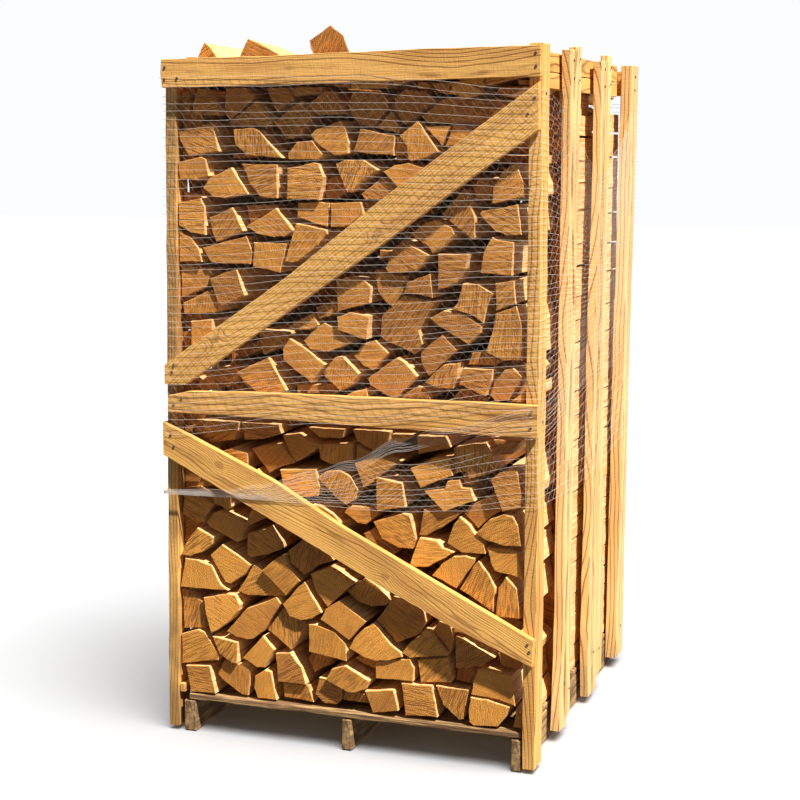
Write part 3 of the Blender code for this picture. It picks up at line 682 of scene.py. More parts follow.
@dataclass(frozen=True)
class SplitBeech:
    """Dry beech: orange-brown sawn ends with saw lines and rings, and paler split sides.

    Attributes:
        name: The material's name.
        end_pale: A fresh sawn end.
        end_dark: The end of a dark-toned log: darker wood, and painted shade for logs that lie in shadow.
        end_line: The saw lines, rings and specks on it.
        side_pale: A fresh split side.
        side_dark: The darker fibres of a split side, and what darker-toned logs' sides lean towards; made
            darker as painted shade for sides in shadow.
        ring: Metres from one growth line to the next.
        roughness: The shader's roughness.
    """

    name: str = "split_beech"
    end_pale: Colour = (0.93, 0.41, 0.065)
    end_dark: Colour = (0.50, 0.185, 0.030)
    end_line: Colour = (0.15, 0.045, 0.007)
    side_pale: Colour = (0.95, 0.70, 0.37)
    side_dark: Colour = (0.64, 0.33, 0.105)
    ring: float = 0.0052
    roughness: float = 0.8

    def material(self) -> bpy.types.Material:
        """Build the wood from each log's own heart and marks.

        Returns:
            The material.
        """
        sheet = NodeSheet(self.name)
        here = sheet.object_place()
        heart = sheet.attribute("heart").outputs["Vector"]
        tone, seed = sheet.split(sheet.attribute("log_marks").outputs["Vector"])[:2]
        x, y, z = sheet.split(sheet.vector("SUBTRACT", here, heart))
        radius = sheet.vector("LENGTH", sheet.join(x, 0.0, z), (0, 0, 0))
        seeded = sheet.vector("ADD", here, sheet.join(0.0, sheet.times(seed, 9.0), 0.0))
        lumps = sheet.noise(seeded, 26.0, 2.0)
        # The log's tone with noise over its end: partly the wood's colour, partly painted shade.
        shade = sheet.math("ADD", tone, sheet.math("MULTIPLY_ADD", sheet.noise(seeded, 14.0), 0.9, -0.45))
        lines = self.saw_lines(sheet, x, z, seed, lumps)
        end = self.sawn_end(sheet, lines, radius, lumps, seeded, shade, seed)
        side = self.split_side(sheet, sheet.join(x, y, z), shade)
        facing = sheet.math("ABSOLUTE", sheet.split(sheet.add("ShaderNodeNewGeometry").outputs["Normal"])[1])
        is_end = sheet.step(facing, 0.72, 0.86)
        colour = sheet.mix(is_end, side, end)
        fibres = sheet.noise(self.drawn_out(sheet, sheet.join(x, y, z), 330.0, 12.0), 1.0, 3.0, 0.6)
        height = sheet.math(
            "ADD",
            sheet.times(is_end, sheet.times(lines, -0.8)),
            sheet.math("ADD", sheet.times(fibres, 0.8), sheet.noise(seeded, 500.0, 1.0)),
        )
        sheet.finish(colour, height, 0.0012, self.roughness)
        return sheet.material

    def saw_lines(
        self,
        sheet: NodeSheet,
        x: bpy.types.NodeSocket,
        z: bpy.types.NodeSocket,
        seed: bpy.types.NodeSocket,
        lumps: bpy.types.NodeSocket,
    ) -> bpy.types.NodeSocket:
        """Draw the lines of the saw, each log's at an angle and strength of its own.

        Args:
            sheet: The material's nodes.
            x: Metres across from the log's heart.
            z: Metres up from it.
            seed: The log's own number.
            lumps: Soft noise that bends the lines.

        Returns:
            How dark the lines are, from 0 to 1.
        """
        turn = sheet.math("MULTIPLY_ADD", seed, 2.4, 0.9)
        cosine, sine = sheet.math("COSINE", turn), sheet.math("SINE", turn)
        across = sheet.math("ADD", sheet.times(x, cosine), sheet.times(z, sine))
        along = sheet.math("SUBTRACT", sheet.times(z, cosine), sheet.times(x, sine))
        across = sheet.math("MULTIPLY_ADD", lumps, 0.006, across)
        cut = sheet.join(sheet.times(across, 330.0), sheet.times(along, 22.0), sheet.times(seed, 50.0))
        noise = sheet.noise(cut, 1.0, 2.0, 0.6)
        strength = sheet.step(sheet.math("FRACT", sheet.times(seed, 7.31)), 0.0, 0.8)
        strength = sheet.math("MULTIPLY_ADD", strength, 0.75, 0.25)
        return sheet.times(sheet.step(noise, 0.46, 0.62), strength)

    def sawn_end(
        self,
        sheet: NodeSheet,
        lines: bpy.types.NodeSocket,
        radius: bpy.types.NodeSocket,
        lumps: bpy.types.NodeSocket,
        seeded: bpy.types.NodeSocket,
        shade: bpy.types.NodeSocket,
        seed: bpy.types.NodeSocket,
    ) -> bpy.types.NodeSocket:
        """Colour a sawn end with growth rings, saw lines and specks.

        Args:
            sheet: The material's nodes.
            lines: How dark the saw lines are.
            radius: Metres from the log's heart.
            lumps: Soft noise that bends the rings.
            seeded: Where the surface is, moved by the log's own number.
            shade: The log's tone, partly painted shade, uneven over its end.
            seed: The log's own number.

        Returns:
            The colour.
        """
        bent = sheet.math("MULTIPLY_ADD", lumps, 0.012, radius)
        bands = sheet.math("SINE", sheet.times(bent, math.tau / self.ring))
        rings = sheet.math("POWER", sheet.math("MULTIPLY_ADD", bands, 0.5, 0.5), 3.0)
        ringed = sheet.step(sheet.math("FRACT", sheet.times(seed, 3.77)), 0.1, 0.9)
        specks = sheet.noise(seeded, 420.0, 2.0, 0.7)
        # Darker-toned ends lean towards end_dark: partly darker wood, partly painted shade.
        colour = sheet.mix(sheet.step(shade, 0.0, 1.0), paint(self.end_pale), paint(self.end_dark))
        dark = paint(self.end_line)
        colour = sheet.mix(sheet.times(sheet.times(rings, ringed), 0.42), colour, dark)
        colour = sheet.mix(sheet.times(lines, 0.68), colour, dark)
        return sheet.mix(sheet.times(sheet.step(specks, 0.48, 0.68), 0.5), colour, dark)

    def split_side(
        self, sheet: NodeSheet, place_on_log: bpy.types.NodeSocket, shade: bpy.types.NodeSocket
    ) -> bpy.types.NodeSocket:
        """Colour a split side with fibres that run along the log.

        Args:
            sheet: The material's nodes.
            place_on_log: Metres from the log's heart.
            shade: The log's tone, partly painted shade.

        Returns:
            The colour.
        """
        fibre = sheet.noise(self.drawn_out(sheet, place_on_log, 260.0, 9.0), 1.0, 3.0, 0.6)
        side = sheet.mix(sheet.step(fibre, 0.35, 0.7), paint(self.side_dark), paint(self.side_pale))
        # Darker-toned logs' sides lean towards the dark side colour: partly darker wood, partly painted
        # shade.
        dark_tone_and_shade = sheet.times(sheet.step(shade, 0.2, 1.1), 0.55)
        return sheet.mix(dark_tone_and_shade, side, paint(self.side_dark))

    @staticmethod
    def drawn_out(
        sheet: NodeSheet, vector: bpy.types.NodeSocket, thin: float, long: float
    ) -> bpy.types.NodeSocket:
        """Scale a place so that a pattern on it is drawn out along the log."""
        return sheet.vector("MULTIPLY", vector, (thin, long, thin))


@dataclass(frozen=True)
class NetThread:
    """Thin white polyethylene thread.

    Attributes:
        name: The material's name.
        colour: The thread's colour.
        roughness: The shader's roughness.
        cover: How much of what lies behind the thread it hides.
    """

    name: str = "net_thread"
    colour: Colour = (1.0, 0.95, 0.87)
    roughness: float = 0.35
    cover: float = 0.45

    def material(self) -> bpy.types.Material:
        """Build the thread, a little duller and brighter from place to place.

        Returns:
            The material.
        """
        sheet = NodeSheet(self.name)
        patches = sheet.noise(sheet.object_place(), 60.0, 1.0)
        dull = paint(tuple(0.6 * part for part in self.colour))
        sheet.feed(sheet.shader.inputs["Base Color"], sheet.mix(patches, paint(self.colour), dull))
        sheet.shader.inputs["Roughness"].default_value = self.roughness
        sheet.shader.inputs["Alpha"].default_value = self.cover
        return sheet.material


@dataclass(frozen=True)
class NailSteel:
    """Dull steel of the nail heads.

    Attributes:
        name: The material's name.
        colour: The steel's colour.
        rust: The colour of the rust on it.
        roughness: The shader's roughness.
        metallic: The shader's metallic value.
    """

    name: str = "nail_steel"
    colour: Colour = (0.10, 0.085, 0.075)
    rust: Colour = (0.16, 0.06, 0.02)
    roughness: float = 0.5
    metallic: float = 0.7

    def material(self) -> bpy.types.Material:
        """Build the steel, with rust here and there.

        Returns:
            The material.
        """
        sheet = NodeSheet(self.name)
        rusty = sheet.step(sheet.noise(sheet.object_place(), 90.0, 2.0), 0.45, 0.7)
        colour = sheet.mix(rusty, paint(self.colour), paint(self.rust))
        sheet.feed(sheet.shader.inputs["Base Color"], colour)
        sheet.shader.inputs["Roughness"].default_value = self.roughness
        sheet.shader.inputs["Metallic"].default_value = self.metallic
        return sheet.material


def select_only(piece: bpy.types.Object) -> None:
    """Deselect everything, then select and activate one object.

    Args:
        piece: The object.
    """
    bpy.ops.object.select_all(action="DESELECT")
    piece.select_set(True)
    bpy.context.view_layer.objects.active = piece


def new_piece(
    name: str,
    points: Sequence[Vector],
    edges: Sequence[tuple[int, int]],
    faces: Sequence[Sequence[int]],
) -> bpy.types.Object:
    """Make an object from a drawn wire or drawn faces, to be shaped further.

    Args:
        name: The object's name.
        points: Its points, in metres.
        edges: Pairs of point numbers.
        faces: Rounds of point numbers.

    Returns:
        The object, in the scene and selected.
    """
    mesh = bpy.data.meshes.new(name)
    mesh.from_pydata(points, edges, faces)
    piece = bpy.data.objects.new(name, mesh)
    bpy.context.scene.collection.objects.link(piece)
    select_only(piece)
    return piece


def select_in_mesh(piece: bpy.types.Object, domain: str, chosen: Iterable[bool]) -> None:
    """Select just these points, edges or faces of a mesh, from object mode.

    Args:
        piece: The object.
        domain: "VERT", "EDGE" or "FACE".
        chosen: One flag for each of them.
    """
    mesh = piece.data
    parts = {"VERT": mesh.vertices, "EDGE": mesh.edges, "FACE": mesh.polygons}
    for group in parts.values():
        group.foreach_set("select", [False] * len(group))
    flags = list(chosen)
    parts[domain].foreach_set("select", flags)
    bpy.ops.object.mode_set(mode="EDIT")
    bpy.ops.mesh.select_mode(type=domain)
    bpy.ops.object.mode_set(mode="OBJECT")
    parts[domain].foreach_set("select", flags)
    bpy.ops.object.mode_set(mode="EDIT")


def coordinates(mesh: bpy.types.Mesh) -> np.ndarray:
    """Read the points of a mesh.

    Args:
        mesh: The mesh.

    Returns:
        The points in metres, one to a line.
    """
    flat = np.empty(len(mesh.vertices) * 3)
    mesh.vertices.foreach_get("co", flat)
    return flat.reshape(-1, 3)


def ride_as(piece: bpy.types.Object, finish: bpy.types.Material, node: str = "") -> None:
    """Dress a piece in its finish, and let it ride on the crate.

    Args:
        piece: The finished piece.
        finish: Its material.
        node: The frame node that it takes the place of, if any.
    """
    piece.data.materials.clear()
    piece.data.materials.append(finish)
    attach(piece, "root")
    if node:
        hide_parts(node)


def add_attribute(mesh: bpy.types.Mesh, name: str, kind: str, domain: str, values: object) -> None:
    """Store an attribute that a finish reads.

    Args:
        mesh: The mesh.
        name: The attribute's name.
        kind: "FLOAT" or "FLOAT_VECTOR".
        domain: "POINT" or "FACE".
        values: Its values, in the mesh's order.
    """
    made = mesh.attributes.new(name, kind, domain)
    field_name = "vector" if kind == "FLOAT_VECTOR" else "value"
    made.data.foreach_set(field_name, np.asarray(values, np.float32).ravel())


@dataclass
class Board:
    """One sawn board of the crate, shaped by its frame node.

    Attributes:
        node: The frame node that gives its form.
        slot: The material slot of its wood; not used.
        wood: The wood it is dressed in.
        number: Sets its grain apart from its neighbours'.
        tone: How dark it is, from 0 to 1: weathering, and on the front left post also painted shade.
        worn: How far its edges are rounded off, in metres.
        uneven: How far its sawn faces swell and shrink, in metres.
        lengths: How many short lengths it is cut into, so that its faces can sway.
    """

    node: str
    slot: str
    wood: bpy.types.Material
    number: int
    tone: float = 0.0
    worn: float = 0.0012
    uneven: float = 0.0016
    lengths: int = 26

    def build(self) -> bpy.types.Object:
        """Copy the node, wear its edges, give it its grain and let it ride.

        Returns:
            The finished board.
        """
        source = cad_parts[self.node]
        piece = bpy.data.objects.new(self.node + "_sawn", source.data.copy())
        bpy.context.scene.collection.objects.link(piece)
        select_only(piece)
        self.shape(piece)
        self.mark_grain(piece.data)
        ride_as(piece, self.wood, self.node)
        log.info("board %s: %d faces", piece.name, len(piece.data.polygons))
        return piece

    def shape(self, piece: bpy.types.Object) -> None:
        """Merge the copy, cut it into short lengths and take its edges off.

        Args:
            piece: The copy of the node.
        """
        bpy.ops.object.mode_set(mode="EDIT")
        bpy.ops.mesh.select_all(action="SELECT")
        bpy.ops.mesh.remove_doubles(threshold=0.00005)
        bpy.ops.mesh.dissolve_limited(angle_limit=math.radians(1.0))
        bpy.ops.object.mode_set(mode="OBJECT")
        low, high = (Vector(corner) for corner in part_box(self.node))
        middle, ways = self.own_ways(coordinates(piece.data))
        long_way = ways[0]
        length = (high - low).length
        bpy.ops.object.mode_set(mode="EDIT")
        for cut in range(1 - self.lengths // 2, self.lengths // 2):
            bpy.ops.mesh.select_all(action="SELECT")
            along = Vector(long_way) * (length * cut / self.lengths)
            bpy.ops.mesh.bisect(plane_co=Vector(middle) + along, plane_no=long_way)
        bpy.ops.object.mode_set(mode="OBJECT")
        self.sway(piece.data, long_way)
        rounding = piece.modifiers.new("worn_edges", "BEVEL")
        rounding.width = self.worn
        rounding.segments = 1
        rounding.limit_method = "ANGLE"
        rounding.angle_limit = math.radians(40)
        bpy.ops.object.modifier_apply(modifier=rounding.name)
        bpy.ops.object.shade_smooth_by_angle(angle=math.radians(25))

    def sway(self, mesh: bpy.types.Mesh, long_way: np.ndarray) -> None:
        """Let the faces swell and shrink a little along the board, inwards only.

        Args:
            mesh: The board's mesh.
            long_way: The direction along the board.
        """
        points = coordinates(mesh)
        low, high = points.min(axis=0), points.max(axis=0)
        centre = (low + high) / 2
        reach = points @ long_way
        wave = 0.5 + 0.25 * np.sin(reach * 23 + self.number) + 0.25 * np.sin(reach * 51 + 2 * self.number)
        inwards = np.sign(centre - points)
        thin = (high - low) < 0.2
        points = points + inwards * thin * (self.uneven * wave)[:, None]
        mesh.vertices.foreach_set("co", points.ravel())
        mesh.update()

    @staticmethod
    def own_ways(points: np.ndarray) -> tuple[np.ndarray, np.ndarray]:
        """Find the board's middle and its own three directions.

        Args:
            points: The board's points.

        Returns:
            The middle, and the directions along, across and through the board.
        """
        middle = points.mean(axis=0)
        ways = np.linalg.svd(points - middle)[2]
        ways *= np.sign(ways[np.arange(3), np.argmax(np.abs(ways), axis=1)])[:, None]
        return middle, ways

    def mark_grain(self, mesh: bpy.types.Mesh) -> None:
        """Store where each point lies along, across and through the board.

        Args:
            mesh: The board's mesh.
        """
        points = coordinates(mesh)
        middle, ways = self.own_ways(points)
        add_attribute(mesh, "grain_place", "FLOAT_VECTOR", "POINT", (points - middle) @ ways.T)
        add_attribute(mesh, "board_number", "FLOAT", "POINT", np.full(len(points), self.number * 1.7))
        add_attribute(mesh, "board_tone", "FLOAT", "POINT", np.full(len(points), self.tone))
        normals = np.empty(len(mesh.polygons) * 3)
        mesh.polygons.foreach_get("normal", normals)
        ends = np.abs(normals.reshape(-1, 3) @ ways[0]) > 0.8
        add_attribute(mesh, "end_face", "FLOAT", "FACE", ends)


@dataclass(frozen=True)
class LogEnd:
    """The drawn end of one split log.

    Attributes:
        back: How far it is set back from the row's face, in millimetres.
        tone: 0 for pale to 1 for dark: partly the wood's own colour, partly painted shade.
        corners: The outline's corners, in millimetres.
    """

    back: float
    tone: float
    corners: tuple[Point, ...]

    @classmethod
    def read(cls, line: str) -> "LogEnd":
        """Read one line of the drawing.

        Args:
            line: The setback, the tone and the corners.

        Returns:
            The end.
        """
        back, tone, *pairs = line.split()
        corners = tuple(tuple(float(part) for part in pair.split(",")) for pair in pairs)
        return cls(float(back), float(tone) / 9, corners)

    def mirrored(self) -> "LogEnd":
        """Swap left and right."""
        return LogEnd(self.back, self.tone, tuple((MIRROR_X - x, z) for x, z in self.corners))

    def kept_inside(self) -> "LogEnd":
        """Keep the corners between the walls and above the deck."""
        return LogEnd(self.back, self.tone, tuple(map(self.inside, self.corners)))

    @staticmethod
    def inside(corner: Point) -> Point:
        """Move a corner clear of the walls, the side rails, the strip and the deck.

        Args:
            corner: The corner, on the drawing.

        Returns:
            The corner's new place.
        """
        x, z = corner
        left, right = WALL_LEFT_FOOT + WALL_LEFT_LEAN * z / POST_TOP, WALL_RIGHT
        if z > SIDE_RAIL_FOOT:
            left, right = SIDE_RAIL_LEFT, SIDE_RAIL_RIGHT
        elif z < STRIP_TOP:
            left = STRIP_INSIDE
        return min(max(x, left + 1), right - 1), max(z, DECK_TOP + 1)

    def heart(self, shift: float) -> Point:
        """Guess where the tree's middle lay: out past the log's sharpest corner.

        Args:
            shift: How far past that corner, in millimetres.

        Returns:
            The place, on the drawing.
        """
        ahead = self.corners[1:] + self.corners[:1]
        behind = self.corners[-1:] + self.corners[:-1]
        sharpest, least, way = self.corners[0], math.inf, Vector((0, 1))
        for corner, following, before in zip(self.corners, ahead, behind):
            first = (Vector(following) - Vector(corner)).normalized()
            second = (Vector(before) - Vector(corner)).normalized()
            if first.length and second.length and (angle := first.angle(second)) < least:
                sharpest, least, way = corner, angle, -(first + second)
        away = way.normalized() * shift
        return sharpest[0] + away.x, sharpest[1] + away.y

    def rough(self, spacing: float, jitter: float, chance: random.Random) -> list[Point]:
        """Cut the sides short and split them unevenly, as an axe leaves them.

        Args:
            spacing: Millimetres between the new points.
            jitter: How far they stray from the straight side.
            chance: Where the straying comes from.

        Returns:
            The finer outline.
        """
        outline: list[Point] = []
        for (x, z), (next_x, next_z) in zip(self.corners, self.corners[1:] + self.corners[:1]):
            length = math.hypot(next_x - x, next_z - z)
            if length < 1:
                continue
            cuts = max(1, round(length / spacing))
            bow = chance.uniform(-0.4, 1.0) * jitter
            for cut in range(cuts):
                share = cut / cuts
                stray = (bow * math.sin(math.pi * share) + chance.uniform(-0.6, 0.6) * jitter) if cut else 0
                outline.append(
                    (
                        between(x, next_x, share) + stray * (next_z - z) / length,
                        between(z, next_z, share) - stray * (next_x - x) / length,
                    )
                )
        return outline


@dataclass
class LogStack:
    """A row of stacked logs, or one loose log: each is a split billet of its own.

    Attributes:
        node: The frame node that the row stands for.
        front: Where the row begins, in millimetres back from the posts' front faces.
        side: Which of its ends show.
        swapped: Whether left and right are swapped.
        seed: Sets its small irregularities.
        wood: The wood it is dressed in.
        length: How long its logs are.
        turned: How far to the right their far ends lie.
        lengthwise_cuts: How many times each log is cut along its length, to sway there.
        spacing: Millimetres between the points of a split side.
        jitter: How far those points stray.
        ends: The drawn ends.
    """

    node: str
    front: float
    side: Side
    swapped: bool
    seed: int
    wood: bpy.types.Material
    length: float = LOG_LENGTH
    turned: float = 0.0
    lengthwise_cuts: int = 3
    spacing: float = 15.0
    jitter: float = 1.3
    ends: list[LogEnd] = field(default_factory=list)

    def build(self) -> bpy.types.Object:
        """Draw the ends, draw them out into logs, and dress them.

        Returns:
            The finished row.
        """
        piece = self.draw_ends()
        self.draw_out(piece)
        self.saw_off(piece)
        self.weather(piece)
        ride_as(piece, self.wood, self.node)
        log.info("row %s: %d logs, %d faces", piece.name, len(self.ends), len(piece.data.polygons))
        return piece

    def draw_ends(self) -> bpy.types.Object:
        """Draw each log's end as one face, with the marks that its finish reads.

        Returns:
            The drawn row, still flat.
        """
        chance = random.Random(self.seed)
        points: list[Vector] = []
        faces: list[list[int]] = []
        hearts: list[Point] = []
        marks: list[tuple[float, float, float]] = []
        for number, end in enumerate(self.ends):
            end = (end.mirrored() if self.swapped else end).kept_inside()
            outline = end.rough(self.spacing, self.jitter, chance)
            middle_x = sum(x for x, z in outline) / len(outline)
            middle_z = sum(z for x, z in outline) / len(outline)
            slope_x, slope_z = chance.uniform(-0.035, 0.035), chance.uniform(-0.035, 0.035)
            heart = end.heart(chance.uniform(4, 40))
            faces.append(list(range(len(points), len(points) + len(outline))))
            for x, z in outline:
                tilt = slope_x * (x - middle_x) + slope_z * (z - middle_z)
                points.append(place(x, self.start(end.back) + tilt, z))
                hearts.append(heart)
                marks.append((end.tone, chance_of(number, self.seed), 0.0))
        piece = new_piece(self.node + "_logs", points, [], faces)
        middle = place(0, self.front, 0).y
        values = [(place(x, 0, z).x, middle, place(x, 0, z).z) for x, z in hearts]
        add_attribute(piece.data, "heart", "FLOAT_VECTOR", "POINT", values)
        add_attribute(piece.data, "log_marks", "FLOAT_VECTOR", "POINT", marks)
        return piece

    def start(self, back: float) -> float:
        """Find where a log's shown end lies.

        Args:
            back: How far it is set back from the row's face, in millimetres.

        Returns:
            Millimetres back from the posts' front faces.
        """
        if self.side is Side.BACK:
            return self.front + self.length - back
        return self.front + (back if self.side is Side.FRONT else 0.3 * back)

    def draw_out(self, piece: bpy.types.Object) -> None:
        """Extrude the ends into logs a little too long, and cut them across.

        Args:
            piece: The row.
        """
        reach = (self.length + 40) * MM * (-1 if self.side is Side.BACK else 1)
        bpy.ops.object.mode_set(mode="EDIT")
        bpy.ops.mesh.select_all(action="SELECT")
        aside = self.turned * MM * abs(reach) / (self.length * MM)
        bpy.ops.mesh.extrude_region_move(TRANSFORM_OT_translate={"value": (aside, reach, 0)})
        bpy.ops.mesh.select_all(action="SELECT")
        bpy.ops.mesh.normals_make_consistent(inside=False)
        bpy.ops.object.mode_set(mode="OBJECT")
        points = coordinates(piece.data)
        ends = np.array([edge.vertices[:] for edge in piece.data.edges])
        long_edges = np.abs(points[ends[:, 0], 1] - points[ends[:, 1], 1]) > abs(reach) / 2
        select_in_mesh(piece, "EDGE", long_edges.tolist())
        bpy.ops.mesh.subdivide(number_cuts=self.lengthwise_cuts)
        bpy.ops.object.mode_set(mode="OBJECT")

    def saw_off(self, piece: bpy.types.Object) -> None:
        """Saw the hidden ends off in one plane, where the row's length ends.

        Args:
            piece: The row.
        """
        far = self.front if self.side is Side.BACK else self.front + self.length
        outwards = -1 if self.side is Side.BACK else 1
        bpy.ops.object.mode_set(mode="EDIT")
        bpy.ops.mesh.select_all(action="SELECT")
        bpy.ops.mesh.bisect(
            plane_co=place(0, far, 0), plane_no=(0, outwards, 0), clear_outer=True, use_fill=True
        )
        bpy.ops.object.mode_set(mode="OBJECT")

    def weather(self, piece: bpy.types.Object) -> None:
        """Sway the split sides between the sawn ends, and take the edges off.

        Args:
            piece: The row.
        """
        points = coordinates(piece.data)
        low, high = points[:, 1].min(), points[:, 1].max()
        inner = (points[:, 1] > low + 0.06) & (points[:, 1] < high - 0.06)
        sides = piece.vertex_groups.new(name="split_sides")
        sides.add([int(index) for index in np.flatnonzero(inner)], 1.0, "REPLACE")
        lumps = bpy.data.textures.new("split_lumps", "CLOUDS")
        lumps.noise_scale = 0.05
        swaying = piece.modifiers.new("split_sides", "DISPLACE")
        swaying.texture = lumps
        swaying.texture_coords = "LOCAL"
        swaying.strength = 0.006
        swaying.mid_level = 0.62
        swaying.vertex_group = sides.name
        bpy.ops.object.modifier_apply(modifier=swaying.name)
        normals = np.empty(len(piece.data.polygons) * 3)
        piece.data.polygons.foreach_get("normal", normals)
        sawn = np.abs(normals.reshape(-1, 3)[:, 1]) > 0.9
        select_in_mesh(piece, "FACE", sawn.tolist())
        bpy.ops.mesh.inset(thickness=0.0014, depth=0.0009, use_individual=True, use_even_offset=False)
        bpy.ops.object.mode_set(mode="OBJECT")
        bpy.ops.object.shade_smooth_by_angle(angle=math.radians(28))


def chance_of(number: int, seed: int) -> float:
    """Give each log a number of its own between 0 and 1."""
    return random.Random(number * 131 + seed).random()


# The ways in which the net's edges run round the crate. The position is 0 to 1 across the front,
# 1 to 2 back along the right wall, 2 to 3 across the back and 3 to 4 along the left wall, and
# the value is the height in metres.
NET_TOP = (
    (0.0, 1.748), (0.5, 1.745), (1.0, 1.712), (1.6, 1.500), (1.75, 1.565), (1.93, 1.680),
    (2.0, 1.700), (2.5, 1.735), (3.0, 1.745), (3.5, 1.700), (4.0, 1.748),
)
UPPER_FOOT = (
    (0.0, 0.820), (0.5, 0.880), (1.0, 0.940), (1.6, 1.040), (2.0, 1.100), (2.5, 0.960),
    (3.0, 0.850), (3.5, 0.800), (4.0, 0.820),
)
MIDDLE_TOP = (
    (0.0, 0.672), (0.18, 0.682), (0.27, 0.702), (0.42, 0.748), (0.52, 0.780), (0.65, 0.845),
    (0.76, 0.880), (1.0, 0.945), (1.6, 1.030), (2.0, 1.090), (2.5, 0.880), (3.0, 0.690), (4.0, 0.672),
)
MIDDLE_FOOT = (
    (0.0, 0.662), (0.18, 0.664), (0.27, 0.680), (0.42, 0.724), (0.52, 0.756), (0.65, 0.812),
    (0.76, 0.838), (1.0, 0.870), (1.6, 0.950), (2.0, 1.000), (2.5, 0.820), (3.0, 0.675), (4.0, 0.662),
)
LOWER_TOP = (
    (0.0, 0.668), (0.25, 0.676), (0.45, 0.720), (0.65, 0.780), (1.0, 0.858), (1.6, 0.940),
    (2.0, 0.990), (2.5, 0.800), (3.0, 0.670), (4.0, 0.668),
)
LOWER_FOOT = (
    (0.0, 0.660), (0.3, 0.664), (0.5, 0.660), (0.65, 0.657), (0.8, 0.668), (1.0, 0.692),
    (1.4, 0.680), (1.9, 0.727), (2.0, 0.735), (2.5, 0.690), (3.0, 0.655), (4.0, 0.660),
)


@dataclass
class ThreadBand:
    """A band of net threads that run side by side round the crate.

    Attributes:
        top: The way of its highest thread.
        foot: The way of its lowest thread.
        threads: How many threads it has.
    """

    top: tuple[Point, ...]
    foot: tuple[Point, ...]
    threads: int

    def height(self, thread: float, where: float) -> float:
        """Return how high a thread runs at a position round the crate."""
        share = thread / (self.threads - 1)
        return between(along_curve(self.top, where), along_curve(self.foot, where), share)


